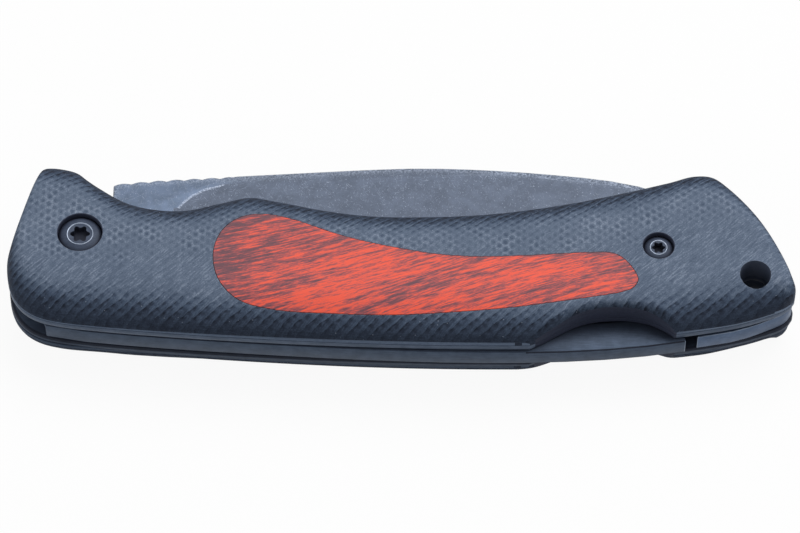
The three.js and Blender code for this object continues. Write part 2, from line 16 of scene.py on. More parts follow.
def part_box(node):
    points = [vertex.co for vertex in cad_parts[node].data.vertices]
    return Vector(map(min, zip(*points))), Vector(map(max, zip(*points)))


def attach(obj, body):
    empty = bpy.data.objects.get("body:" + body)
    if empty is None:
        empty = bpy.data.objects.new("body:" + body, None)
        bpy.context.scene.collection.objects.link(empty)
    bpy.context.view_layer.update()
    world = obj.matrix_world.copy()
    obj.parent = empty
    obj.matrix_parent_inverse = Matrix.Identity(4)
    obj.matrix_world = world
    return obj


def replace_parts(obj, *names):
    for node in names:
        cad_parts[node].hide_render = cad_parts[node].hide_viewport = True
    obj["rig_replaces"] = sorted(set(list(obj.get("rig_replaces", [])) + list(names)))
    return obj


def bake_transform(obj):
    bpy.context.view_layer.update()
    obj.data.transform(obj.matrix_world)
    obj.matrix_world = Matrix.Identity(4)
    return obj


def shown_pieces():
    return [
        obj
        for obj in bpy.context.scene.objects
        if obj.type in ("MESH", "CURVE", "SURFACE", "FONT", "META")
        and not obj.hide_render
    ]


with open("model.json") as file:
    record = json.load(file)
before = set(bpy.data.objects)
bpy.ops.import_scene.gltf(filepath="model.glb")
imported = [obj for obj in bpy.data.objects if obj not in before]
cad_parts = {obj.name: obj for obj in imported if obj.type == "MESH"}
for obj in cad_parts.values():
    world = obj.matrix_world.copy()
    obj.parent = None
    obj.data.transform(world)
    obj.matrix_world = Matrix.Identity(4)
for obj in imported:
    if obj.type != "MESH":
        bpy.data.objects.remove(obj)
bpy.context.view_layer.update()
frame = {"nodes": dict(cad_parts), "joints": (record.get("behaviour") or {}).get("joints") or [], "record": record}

# %% [markdown]
# ## Millimetres first
# The row frame is in metres, but a knife is drawn in millimetres. So each piece is drawn in
# millimetres around the middle of the handle, and one matrix brings it into the row frame at the
# end. The matrix comes from the pivot, whose place the frame knows, so nothing is measured twice.

# %% Where the drawing lies in the row frame
MM = 0.001
PIVOT = Vector((-46.5, 1.45))
joints = {joint["name"]: joint for joint in frame["joints"]}
pivot_place = Vector(joints["blade_pivot"]["pos_m"])
shift = pivot_place.xy / MM - PIVOT
to_row = Matrix.Scale(MM, 4) @ Matrix.Translation((shift.x, shift.y, 0))
middle = pivot_place.z / MM


def levels(cad_node):
    low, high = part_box(cad_node)
    return low.z / MM, high.z / MM


scale_low, scale_high = levels("front_scale")
liner_low, liner_high = levels("front_liner")
bar_high = levels("lock_bar")[1]
print("shift", tuple(round(v, 4) for v in shift), "middle", round(middle, 3), "top", round(scale_high, 3))

# %% [markdown]
# ## The camera
# The photograph is a long-lens view from the back edge of the knife, 56 degrees above the table.
# A long lens keeps the two ends of the handle equally large, so the camera stands well back.

# %% Place the camera
ELEVATION = math.radians(56)
DISTANCE = 600
camera_data = bpy.data.cameras.new("camera")
camera_data.lens = 184.4
camera_data.sensor_width = 36
camera = bpy.data.objects.new("camera", camera_data)
bpy.context.scene.collection.objects.link(camera)
target = to_row @ Vector((0, 0, 7))
camera.location = target + DISTANCE * MM * Vector((0, -math.cos(ELEVATION), math.sin(ELEVATION)))
camera.rotation_euler = (math.pi / 2 - ELEVATION, 0, 0)
bpy.context.scene.camera = camera
print("camera at", tuple(round(v, 3) for v in camera.location))

# %% [markdown]
# ## Small tools for the hands
# Blender's operators work on what is selected, and loading the frame leaves its pieces selected.
# So every step here first clears the selection, and then picks its faces or edges by their place.

# %% Select, edit and pick
def only(piece):
    if bpy.context.object and bpy.context.object.mode == "EDIT":
        bpy.ops.object.mode_set(mode="OBJECT")
    bpy.ops.object.select_all(action="DESELECT")
    piece.select_set(True)
    bpy.context.view_layer.objects.active = piece
    return piece


def edit(piece, kind="FACE"):
    only(piece)
    bpy.ops.object.mode_set(mode="EDIT")
    bpy.context.tool_settings.mesh_select_mode = [kind == each for each in ("VERT", "EDGE", "FACE")]
    bpy.ops.mesh.select_all(action="DESELECT")


def edit_all(piece):
    edit(piece)
    bpy.ops.mesh.select_all(action="SELECT")


def done():
    bpy.ops.object.mode_set(mode="OBJECT")


def pick(piece, kind, test):
    edit(piece, kind)
    shape = bmesh.from_edit_mesh(piece.data)
    shape.normal_update()
    found = 0
    for element in {"VERT": shape.verts, "EDGE": shape.edges, "FACE": shape.faces}[kind]:
        if test(element):
            element.select_set(True)
            found += 1
    shape.select_flush_mode()
    bmesh.update_edit_mesh(piece.data)
    return found


def outwards(piece):
    edit_all(piece)
    bpy.ops.mesh.remove_doubles(threshold=0.002)
    bpy.ops.mesh.normals_make_consistent(inside=False)
    done()
    return piece


# %% [markdown]
# A flat piece starts as a filled circle whose corners are led onto the outline, and is then extruded
# to its thickness. A round one starts as a cylinder. A boolean takes one from the other, which is
# what a milling cutter or a drill does to the real piece.

# %% Plates, drums and cutters
def extrude_up(distance):
    bpy.ops.mesh.extrude_region_move(TRANSFORM_OT_translate={"value": (0, 0, distance)})


def place_in_mesh(piece):
    only(piece)
    bpy.ops.object.transform_apply(location=True, rotation=True, scale=True)
    return piece


def plate(name, outline, low, high):
    bpy.ops.object.select_all(action="DESELECT")
    bpy.ops.mesh.primitive_circle_add(vertices=len(outline), radius=1, fill_type="NGON")
    piece = bpy.context.object
    piece.name = name
    for vertex, point in zip(piece.data.vertices, outline):
        vertex.co = (point.x, point.y, low)
    edit_all(piece)
    extrude_up(high - low)
    return outwards(piece)


def drum(name, centre, radius, low, high, sides=96):
    bpy.ops.object.select_all(action="DESELECT")
    bpy.ops.mesh.primitive_cylinder_add(
        vertices=sides, radius=radius, depth=high - low, location=(centre.x, centre.y, (low + high) / 2)
    )
    bpy.context.object.name = name
    return place_in_mesh(bpy.context.object)


def finish(piece, kind, **settings):
    only(piece)
    modifier = piece.modifiers.new(kind.lower(), kind)
    for name, value in settings.items():
        setattr(modifier, name, value)
    bpy.ops.object.modifier_apply(modifier=modifier.name)
    return piece


def carve(piece, *cutters, operation="DIFFERENCE"):
    for cutter in cutters:
        finish(piece, "BOOLEAN", object=cutter, operation=operation, solver="EXACT")
        bpy.data.objects.remove(cutter)
    return piece


def copy_of(piece, name):
    twin = piece.copy()
    twin.data = piece.data.copy()
    twin.name = name
    bpy.context.scene.collection.objects.link(twin)
    return twin


# %% [markdown]
# The rear half of the handle is the mirror image of the front one. A mirrored shape is inside out,
# so its normals are turned back. `break_edges` is the last thing a maker does to a plate: a small
# bevel all round that takes off the sharp edges and catches the light. A piece can have three
# finishes: one for most of it, one for its broken edges and one for the walls of its holes. Each
# face carries the number of its finish, and the materials are filled in when they have been made.

# %% Mirror, bevel and number the faces
MAIN, EDGE, CUT = 0, 1, 2


def three_slots(piece):
    while len(piece.data.materials) < 3:
        piece.data.materials.append(None)
    return piece


def number_faces(piece, number, test):
    three_slots(piece)
    found = 0
    for face in piece.data.polygons:
        if test(face.center, face.normal):
            face.material_index = number
            found += 1
    print(piece.name, "has", found, "faces of finish", number)
    return piece


def mirrored(piece, name):
    twin = copy_of(piece, name)
    edit_all(twin)
    bpy.ops.transform.resize(value=(1, 1, -1), center_override=(0, 0, middle))
    bpy.ops.mesh.flip_normals()
    done()
    return twin


def break_edges(piece, width, segments=2, angle=35, number=MAIN):
    three_slots(piece)
    limit = math.radians(angle)
    return finish(
        piece, "BEVEL", width=width, segments=segments, limit_method="ANGLE", angle_limit=limit,
        use_clamp_overlap=False, miter_outer="MITER_ARC", harden_normals=False, material=number,
    )


# %% [markdown]
# ## The outline of the handle
# Two smooth lines make the outline: the back edge, which the lock bar follows, and the open edge,
# where the blade comes out. Each runs through a few listed points, on a curve that passes through
# all of them without overshooting.

# %% A smooth line through picked points
def curve_point(p0, p1, p2, p3, part):
    d0, d1, d2 = (max(1e-4, (b - a).length ** 0.5) for a, b in ((p0, p1), (p1, p2), (p2, p3)))
    leave = ((p1 - p0) / d0 - (p2 - p0) / (d0 + d1) + (p2 - p1) / d1) * d1
    arrive = ((p2 - p1) / d1 - (p3 - p1) / (d1 + d2) + (p3 - p2) / d2) * d1
    rise = p2 - p1
    square = part * part
    cube = square * part
    return p1 + leave * part + (3 * rise - 2 * leave - arrive) * square + (leave + arrive - 2 * rise) * cube


def smooth_line(points, steps, closed=False):
    knots = [Vector(point) for point in points]
    if closed:
        knots = [knots[-1], *knots, *knots[:2]]
    else:
        knots = [2 * knots[0] - knots[1], *knots, 2 * knots[-1] - knots[-2]]
    spans = len(knots) - 3
    line = []
    for step in range(steps if closed else steps + 1):
        spot = step / steps * spans
        first = min(int(spot), spans - 1)
        line.append(curve_point(*knots[first:first + 4], spot - first))
    return line


def height_at(line, x):
    for before, after in zip(line, line[1:]):
        if after.x >= x:
            return before.y + (after.y - before.y) * (x - before.x) / (after.x - before.x)
    return line[-1].y


# %% The two edges
BACK_EDGE = [
    (-57.1, -0.2), (-57.17, -2.4), (-56.8, -5.2), (-55.9, -7.6), (-54.4, -9.5), (-52.4, -10.8),
    (-49.5, -11.65), (-43.4, -12.5), (-31.7, -13.6), (-17, -14.6), (-3, -15.25), (11, -15.55),
    (22, -15.45), (31, -14.85), (39.5, -13.65), (48.8, -11.95), (53.4, -10.45), (55.5, -9.55),
    (56.5, -8.75),
]
OPEN_EDGE = [
    (-53, 13.2), (-52.75, 14.4), (-52.2, 14.9), (-51.2, 15), (-49.5, 14.75), (-48, 14.3),
    (-47.2, 13.85), (-46.1, 12.85), (-44, 11.2), (-40.3, 8.8), (-36.5, 7.6), (-31.5, 7.3),
    (-26.5, 8.5), (-22, 9.55), (-18, 8.8), (-11, 7.15), (-4, 6.15), (3, 6), (12, 6.4), (22, 7.8),
    (32, 10.05), (39.5, 12.2), (43.3, 13.45), (45.9, 13.3), (48.3, 11.2), (52, 6.4), (55, 0.6),
    (56.8, -4.6), (57.3, -6.6), (57.15, -7.7),
]
back_line = smooth_line(BACK_EDGE, 1200)
open_line = smooth_line(OPEN_EDGE, 1200)
print("handle outline from", back_line[0][:], "to", back_line[-1][:])

# %% [markdown]
# The crown is drawn on stations, straight lines from edge to edge. They are fanned round both ends
# and square to the handle between them. Each station also carries its place, from 0 at the pivot end
# to 40 at the butt, because the crown changes along the handle.

# %% Stations across the handle
FIRST_SQUARE, LAST_SQUARE = -50, 44
FAN_FRONT, SQUARE, FAN_BUTT = 28, 270, 48
SQUARE_START, BUTT_START, LAST_PLACE = 6, 31, 40


def step_at(line, x):
    return next(k for k, point in enumerate(line) if point.x >= x)


def make_stations():
    back1, back2 = step_at(back_line, FIRST_SQUARE), step_at(back_line, LAST_SQUARE)
    open1, open2 = step_at(open_line, FIRST_SQUARE), step_at(open_line, LAST_SQUARE)
    made = []
    for k in range(FAN_FRONT):
        share = (k / FAN_FRONT) ** 1.5
        ends = (back_line[round(back1 * share)], open_line[round(open1 * share)])
        made.append((*ends, SQUARE_START * share))
    for k in range(SQUARE):
        share = k / SQUARE
        x = FIRST_SQUARE + (LAST_SQUARE - FIRST_SQUARE) * share
        ends = (Vector((x, height_at(line, x))) for line in (back_line, open_line))
        made.append((*ends, SQUARE_START + (BUTT_START - SQUARE_START) * share))
    for k in range(FAN_BUTT + 1):
        share = k / FAN_BUTT
        back = back_line[round(back2 + (len(back_line) - 1 - back2) * share)]
        open_ = open_line[round(open2 + (len(open_line) - 1 - open2) * share)]
        made.append((back, open_, BUTT_START + (LAST_PLACE - BUTT_START) * share))
    return made


stations = make_stations()
handle_outline = [back for back, _, _ in stations] + [open_ for _, open_, _ in reversed(stations)]
print(len(stations), "stations")

# %% [markdown]
# ## The cutout and the inlay
# The thumb cutout opens on the tail of the lock bar, and the wood lies in a teardrop pocket. Both
# outlines are smooth lines again.

# %% Outlines of the cutout and the inlay
CUTOUT = [
    (17.9, -15.9), (20, -14.9), (22.9, -13.2), (25.1, -11.95), (27.3, -11.15), (30.2, -10.75),
    (33.1, -10.75), (35.9, -11.35), (38.1, -12.5), (40.3, -14.2),
]
INLAY = [
    (-27.1, -1.9), (-26.3, -6.6), (-23.5, -9.9), (-18.4, -11.5), (-9.6, -12.2), (-0.8, -12.45),
    (8.8, -12), (17.6, -11.2), (26.4, -9.9), (31.9, -8.9), (33.7, -8.1), (34.4, -6.8), (33.9, -5.2),
    (32.3, -3), (30.6, -2.1), (26, -2.1), (17.7, -2.6), (11, -2.75), (5.5, -2.35), (0, -1.3),
    (-5.3, 0), (-9.7, 1.5), (-15.3, 3.9), (-19.4, 4.9), (-23.1, 4.35), (-25.8, 2),
]
cutout_outline = [Vector((17.6, -20)), *smooth_line(CUTOUT, 72), Vector((41, -20))]
inlay_outline = smooth_line(INLAY, 208, closed=True)
print("the cutout has", len(cutout_outline), "points and the inlay", len(inlay_outline))


def grown(outline, distance):
    """A closed outline, drawn anticlockwise, moved outwards by a distance."""
    moved = []
    for k, point in enumerate(outline):
        before, after = outline[k - 1], outline[(k + 1) % len(outline)]
        arrive, leave = (point - before).normalized(), (after - point).normalized()
        side = Vector((arrive.y + leave.y, -arrive.x - leave.x)).normalized()
        spread = max(0.5, side.dot(Vector((leave.y, -leave.x))))
        moved.append(point + side * distance / spread)
    return moved


# %% [markdown]
# ## The crowned scales
# A scale is a slab of woven laminate. Its face is flat along the middle and rolls off to both edges
# like a quarter of an ellipse, and it also comes down to nothing over a short way at the pivot end.
# The roll gets narrower towards the butt, and the upright edge under it is lower at both ends than
# midway. A grid primitive has just the right rows: one row for each station, and closer steps where
# the face rolls off. Its rim is then extruded down to the liner and filled.

# %% The height of the crown
BACK_ROLL, OPEN_ROLL, BUTT_ROLL = 8.5, 7.5, 3.2
WIDEST_ROLL = 0.45
EDGE_FRONT, EDGE_MIDWAY, EDGE_BUTT = 0.35, 0.9, 0.4
END_ROLL = 2.8


def ease(value, low, high):
    t = min(1, max(0, (value - low) / (high - low)))
    return t * t * (3 - 2 * t)


def mix(a, b, share):
    return a + (b - a) * share


def crown_sizes(width, count):
    """The widths of both rolls, the level where they start and the rise above it, at a station."""
    along = count / LAST_PLACE
    to_butt = ease(along, 0.75, 1)
    rolls = [min(mix(roll, BUTT_ROLL, to_butt), WIDEST_ROLL * width) for roll in (BACK_ROLL, OPEN_ROLL)]
    leading = mix(EDGE_FRONT, EDGE_MIDWAY, ease(along, 0.1, 0.5))
    low = scale_low + mix(leading, EDGE_BUTT, ease(along, 0.7, 0.8))
    end = 1 - min(1, count / END_ROLL)
    rise = (scale_high - low) * math.sqrt(min(1, width / (2 * BUTT_ROLL))) * math.sqrt(1 - end * end)
    return *rolls, low, rise


# %% The crowned blank
ROLL_STEPS, FLAT_STEPS = 20, 20
TURNS = [math.pi / 2 * s / ROLL_STEPS for s in range(ROLL_STEPS)]


def crown_row(back, open_, count):
    width = (open_ - back).length
    back_roll, open_roll, low, rise = crown_sizes(width, count)
    row = [(back_roll * (1 - math.cos(turn)), math.sin(turn)) for turn in TURNS]
    row += [(mix(back_roll, width - open_roll, s / FLAT_STEPS), 1) for s in range(FLAT_STEPS + 1)]
    row += [(width - open_roll * (1 - math.cos(turn)), math.sin(turn)) for turn in reversed(TURNS)]
    across = (open_ - back).normalized()
    return [Vector((*(back + across * distance), low + rise * share)) for distance, share in row]


def crowned_blank(name):
    rows = [crown_row(*station) for station in stations]
    across = len(rows[0]) - 1
    along = len(rows) - 1
    bpy.ops.object.select_all(action="DESELECT")
    bpy.ops.mesh.primitive_grid_add(x_subdivisions=along, y_subdivisions=across, size=2)
    blank = bpy.context.object
    blank.name = name
    for vertex in blank.data.vertices:
        k = round((vertex.co.x + 1) / 2 * along)
        s = round((vertex.co.y + 1) / 2 * across)
        vertex.co = rows[k][s]
    found = pick(blank, "EDGE", lambda edge: edge.is_boundary)
    bpy.ops.mesh.extrude_region_move()
    bpy.ops.transform.resize(value=(1, 1, 0), center_override=(0, 0, scale_low))
    bpy.ops.mesh.edge_face_add()
    print(name, "has", len(rows), "rows and a rim of", found, "edges")
    return outwards(blank)


blank = crowned_blank("crowned_blank")

# %% [markdown]
# The rim of the thumb cutout is rounded over, so that it doesn't bite the thumb. A bevel along a
# boolean cut is a gamble, so the rounding is made before the cut: the faces beside the rim are
# subdivided, and their corners are let down along a quarter of a circle.

# %% Round the rim of the cutout
RIM_ROUND, RIM_DROP = 1.1, 0.42
rim_line = cutout_outline[1:-1]


def to_rim(place):
    spot = place.xy
    nearest = math.inf
    for start, end in zip(rim_line, rim_line[1:]):
        run = end - start
        share = min(1, max(0, (spot - start).dot(run) / run.length_squared))
        nearest = min(nearest, (start + run * share - spot).length)
    return nearest


def inside(outline, place):
    crossings = 0
    for a, b in zip(outline, outline[1:] + outline[:1]):
        if (a.y > place.y) != (b.y > place.y):
            crossings += place.x < a.x + (b.x - a.x) * (place.y - a.y) / (b.y - a.y)
    return crossings % 2 == 1


def near_cutout(place):
    return 15 < place.x < 43 and place.y < -8


def beside_rim(face):
    centre = face.calc_center_median()
    return near_cutout(centre) and face.normal.z > 0.1 and to_rim(centre) < RIM_ROUND + 0.3


found = pick(blank, "FACE", beside_rim)
bpy.ops.mesh.subdivide(number_cuts=2)
done()
for vertex in blank.data.vertices:
    place = vertex.co
    if not near_cutout(place) or place.z < scale_low + 0.05:
        continue
    gap = 0 if inside(cutout_outline, place) else to_rim(place)
    if gap < RIM_ROUND:
        drop = min(RIM_ROUND, RIM_DROP * (place.z - scale_low))
        share = 1 - gap / RIM_ROUND
        place.z -= drop * (1 - math.sqrt(1 - share * share))
print("faces beside the rim:", found)

# %% [markdown]
# The blank becomes the scale when its openings are cut. The inlay is cut from the same blank, a seam
# smaller than its pocket, so that its face flows on from the laminate as it does after sanding.

# %% Sizes of the openings
POCKET_DEPTH, SEAM = 2.4, 0.1
BODY_SCREW, LANYARD = Vector((37.5, -0.9)), Vector((51.3, -5.8))
PIVOT_HEAD, BODY_HEAD, HEAD_ROOM = 3.15, 2.15, 0.1
PIVOT_DEPTH, BODY_DEPTH = 2.6, 2.2
BARREL_BORE, SCREW_BORE, LANYARD_BORE = 2.48, 1.3, 2.25
PIVOT_SEAT, BODY_SEAT = scale_high - PIVOT_DEPTH, scale_high - BODY_DEPTH
BELOW, ABOVE = scale_low - 1, scale_high + 1
print("the heads lie on seats at", round(PIVOT_SEAT, 2), "and", round(BODY_SEAT, 2))


# %% Cut the scale
def bore_lip(name, centre, radius, low, lip=0.1):
    """A counterbore cutter whose mouth flares a little, as a deburred bore does."""
    cutter = drum(name, centre, radius, low, scale_high - lip)
    pick(cutter, "FACE", lambda face: face.normal.z > 0.9)
    extrude_up(2 * lip)
    share = 1 + 2 * lip / radius
    middle_of_face = (centre.x, centre.y, scale_high)
    bpy.ops.transform.resize(value=(share, share, 1), center_override=middle_of_face)
    extrude_up(1)
    done()
    return cutter


front_scale = carve(
    copy_of(blank, "scale_front"),
    plate("cutout", cutout_outline, BELOW, ABOVE),
    plate("pocket", inlay_outline, scale_high - POCKET_DEPTH, ABOVE),
    bore_lip("pivot_bore", PIVOT, PIVOT_HEAD + HEAD_ROOM, PIVOT_SEAT),
    drum("pivot_shank", PIVOT, BARREL_BORE, BELOW, ABOVE),
    bore_lip("screw_bore", BODY_SCREW, BODY_HEAD + HEAD_ROOM, BODY_SEAT),
    drum("screw_shank", BODY_SCREW, SCREW_BORE, BELOW, ABOVE),
    drum("lanyard_bore", LANYARD, LANYARD_BORE, BELOW, ABOVE),
)
outwards(front_scale)
print("scale cut, faces:", len(front_scale.data.polygons))

# %% [markdown]
# The foot of the scale, where it meets the liner, is broken too, and that makes the fine seam
# between them. Then the faces are numbered: the upright band round the outside is rubbed smooth by
# machining, and the walls of the cutout and the holes get a darker finish, partly the laminate cut
# across its layers and partly painted shade.

# %% Break the foot of the scale
FOOT_BEVEL = 0.11


def folds_at(edge, level, angle):
    """True where an edge lies at a level and its two faces meet at more than an angle."""
    if len(edge.link_faces) != 2 or max(abs(vertex.co.z - level) for vertex in edge.verts) > 0.01:
        return False
    return edge.calc_face_angle() > math.radians(angle)


def foot_edge(edge):
    return folds_at(edge, scale_low, 40) and (edge.verts[0].co.xy - PIVOT).length > 4


found = pick(front_scale, "EDGE", foot_edge)
bpy.ops.mesh.bevel(offset=FOOT_BEVEL, segments=1, clamp_overlap=False)
done()
print("edges of the foot:", found)

# %% Number the faces of the scale
CUT_FROM, CUT_TO = 19.5, 39.8
FRONT_BAND, BAND = 0.4, 0.6


def in_bore(place):
    bores = ((PIVOT, PIVOT_HEAD), (BODY_SCREW, BODY_HEAD), (LANYARD, LANYARD_BORE))
    return any((place.xy - centre).length < radius + 0.4 for centre, radius in bores)


def at_foot(place, normal):
    return normal.z < -0.3 and place.z < scale_low + FOOT_BEVEL


def cut_wall(place, normal):
    if in_bore(place):
        return abs(normal.z) < 0.9 or place.z < scale_high - 1
    upright = abs(normal.z) < 0.02 or at_foot(place, normal)
    return upright and CUT_FROM < place.x < CUT_TO and to_rim(place) < 0.12


def outer_band(place, normal):
    upright = abs(normal.z) < 0.05 or at_foot(place, normal)
    top = FRONT_BAND if place.x < FIRST_SQUARE else BAND
    return upright and place.z < scale_low + top and not cut_wall(place, normal)


def lanyard_wall(place, normal):
    return (place.xy - LANYARD).length < LANYARD_BORE + 0.45 and abs(normal.z) < 0.98


number_faces(front_scale, EDGE, outer_band)
number_faces(front_scale, CUT, cut_wall)

# %% Cut the inlay from the same blank
front_inlay = copy_of(blank, "inlay_front")
inlay_edge = plate("inlay_edge", grown(inlay_outline, -SEAM), scale_high - POCKET_DEPTH, ABOVE)
carve(front_inlay, inlay_edge, operation="INTERSECT")
outwards(front_inlay)
bpy.data.objects.remove(blank)
print("inlay cut, faces:", len(front_inlay.data.polygons))

# %% [markdown]
# ## The liners
# The liners are steel plates of the same outline as the scales, with the same cutout. Only their
# edges show, as a thin band all round. Both edges are broken a little. The rear liner's edge beside
# the moving pieces is broken more, and its bevel is painted near black, painted shade, so that a line
# shows under the lock bar. The pins are pressed into the holes of the liners with a little room.

# %% Model the liners
LOCK_PIN, DOWEL = Vector((-5, -12.95)), Vector((49.6, 1.1))
PIN_RADIUS, SLEEVE_RADIUS, DOWEL_RADIUS, PIN_ROOM = 1.5, 2.0, 1.0, 0.03
SCALE_SIDE, FRONT_GAP_SIDE, REAR_GAP_SIDE = 0.1, 0.15, 0.45


def liner_plate(name, gap_side):
    low, high = liner_low - 1, liner_high + 1
    liner = carve(
        plate(name, handle_outline, liner_low, liner_high),
        plate("cutout", cutout_outline, low, high),
        drum("pivot_hole", PIVOT, BARREL_BORE, low, high, 64),
        drum("lock_pin_hole", LOCK_PIN, PIN_RADIUS + PIN_ROOM, low, high, 64),
        drum("sleeve_hole", BODY_SCREW, SLEEVE_RADIUS + PIN_ROOM, low, high, 64),
        drum("dowel_hole", DOWEL, DOWEL_RADIUS + PIN_ROOM, low, high, 48),
        drum("lanyard_hole", LANYARD, LANYARD_BORE, low, high, 64),
    )
    three_slots(outwards(liner))
    for level, width in ((liner_high, SCALE_SIDE), (liner_low, gap_side)):
        pick(liner, "EDGE", lambda edge: folds_at(edge, level, 35))
        bpy.ops.mesh.bevel(offset=width, segments=2, clamp_overlap=False, material=EDGE)
        done()

    # these steel faces get the dark laminate wall finish: painted shade
    def hidden(place, normal):
        in_cutout = CUT_FROM < place.x < CUT_TO and to_rim(place) < 0.2
        return in_cutout or lanyard_wall(place, normal)

    return number_faces(liner, CUT, hidden)


front_liner = liner_plate("liner_front", FRONT_GAP_SIDE)
unturned = liner_plate("liner_unturned", REAR_GAP_SIDE)
rear_liner = mirrored(unturned, "liner_rear")
bpy.data.objects.remove(unturned)

# %% [markdown]
# ## Pieces whose CAD shape is already right
# The blade, the lock bar and the spacer have exact outlines in the CAD model, because they have to
# fit each other. A copy of each is welded, its flat triangles are dissolved into whole faces, and
# then its edges are broken. The CAD nodes themselves stay as they are.

# %% Copy a CAD node as a clean mesh in millimetres
def clean_copy(cad_node, name):
    piece = copy_of(frame["nodes"][cad_node], name)
    piece.parent = None
    for key in list(piece.keys()):
        del piece[key]
    piece.data.materials.clear()
    piece.matrix_world = to_row.inverted()
    edit_all(place_in_mesh(piece))
    bpy.ops.mesh.remove_doubles(threshold=0.004)
    bpy.ops.mesh.dissolve_limited(angle_limit=math.radians(0.6))
    bpy.ops.mesh.customdata_custom_splitnormals_clear()
    done()
    print(name, "from", cad_node, "has", len(piece.data.polygons), "faces")
    return piece


SPACER_BEVEL, BAR_BEVEL, BLADE_BEVEL = 0.1, 0.17, 0.2
spacer = break_edges(clean_copy("back_spacer", "spacer"), SPACER_BEVEL, number=EDGE)
# the wall of the lanyard hole gets the dark laminate wall finish: painted shade
number_faces(spacer, CUT, lanyard_wall)

# %% [markdown]
# The bar's edges are broken too. Where its tail shows in the cutout they are painted near black,
# painted shade, and elsewhere they are like the rest of it. Only the corner at its very end, which
# clicks up and down beside the spacer, is rubbed bright.

# %% Break the edges of the bar
lock_bar = break_edges(clean_copy("lock_bar", "bar"), BAR_BEVEL, number=EDGE)
# the bevels keep the near-black finish only in the cutout: a painted shade line
number_faces(lock_bar, MAIN, lambda place, normal: not CUT_FROM < place.x < CUT_TO)
bar_end = max(vertex.co.x for vertex in lock_bar.data.vertices)
number_faces(lock_bar, CUT, lambda place, normal: place.x > bar_end - 0.3 and 0.2 < normal.x < 0.98)

# %% [markdown]
# ## The blade
# The blade needs more care. Its spine is lifted a little where the photograph shows it fuller, before
# the point. Towards the point the steel is ground thinner from both sides, so a cut is made across it
# there and all that lies beyond is squeezed towards the middle plane. Round the tang, corners that
# lie closer together than the bevel is wide are merged, or it would fold over.

# %% Shape the spine and the point, and tidy the tang
SPINE_LEVEL, SPINE_LIFT = 10.5, 0.45
POINT_LENGTH, POINT_SHARE = 5.0, 0.12
TANG_FROM, TANG_TO, TANG_MERGE = 4, 9.5, 0.35
blade = three_slots(clean_copy("blade", "blade_finished"))
point_end = max(vertex.co.x for vertex in blade.data.vertices)
edit_all(blade)
bpy.ops.mesh.bisect(plane_co=(point_end - POINT_LENGTH, 0, 0), plane_no=(1, 0, 0))
done()
for vertex in blade.data.vertices:
    place = vertex.co
    if place.y > SPINE_LEVEL:
        place.y += SPINE_LIFT * ease(place.x, 12, 36) * (1 - ease(place.x, 38, 43))
    share = (point_end - place.x) / POINT_LENGTH
    if share < 1:
        place.z = middle + (place.z - middle) * mix(POINT_SHARE, 1, share)
found = pick(blade, "VERT", lambda vertex: TANG_FROM < (vertex.co.xy - PIVOT).length < TANG_TO)
bpy.ops.mesh.remove_doubles(threshold=TANG_MERGE)
done()
print("point thinned over", POINT_LENGTH, "mm, corners of the tang:", found)

# %% [markdown]
# Its spine and tang are broken all round, but the cutting edge is only a tenth of a millimetre thick
# and stays sharp. So the edges to bevel are picked by place: those that turn sharply and lie well
# out from the middle plane of the knife, and the curved plunge, where the grind starts.

# %% Break the edges of the blade, but not the cutting edge
PLUNGE = [(13.1, 6.4), (13.9, 8.4), (15.6, 10.4), (17.8, 11.8), (20.8, 12.8), (25, 13.45)]
plunge_line = [PIVOT + point for point in smooth_line(PLUNGE, 40)]


def on_plunge(place):
    if abs(abs(place.z - middle) - (bar_high - middle)) > 0.06:
        return False
    return min((place.xy - point).length for point in plunge_line) < 0.4


def blunt_edge(edge):
    places = [vertex.co for vertex in edge.verts]
    if len(edge.link_faces) != 2 or all(abs(place.x - plunge_line[0].x) < 0.05 for place in places):
        return False
    if edge.calc_face_angle() < math.radians(24):
        return edge.calc_face_angle() > math.radians(1) and all(on_plunge(place) for place in places)
    return all(abs(place.z - middle) > 0.45 for place in places)


found = pick(blade, "EDGE", blunt_edge)
bpy.ops.mesh.bevel(offset=BLADE_BEVEL, segments=2, clamp_overlap=False, material=EDGE)
done()
print("blade edges broken:", found)

# %% [markdown]
# ## Screws
# A screw head starts as a drum from its seat to its rim. Its top face is inset and lifted again and
# again, which turns it into a low dome with a thin ring round the drive recess. The bottom face is
# inset and extruded into the shank. Last, a cutter with six lobes sinks the recess. Radii are
# measured from the screw's axis, and heights from its seat.

# %% The outline of the drive
def lobed(centre, radius, corners=96):
    outline = []
    for k in range(corners):
        turn = 2 * math.pi * k / corners
        out = radius * (0.86 + 0.14 * math.cos(6 * turn))
        outline.append(centre + out * Vector((math.cos(turn), math.sin(turn))))
    return outline


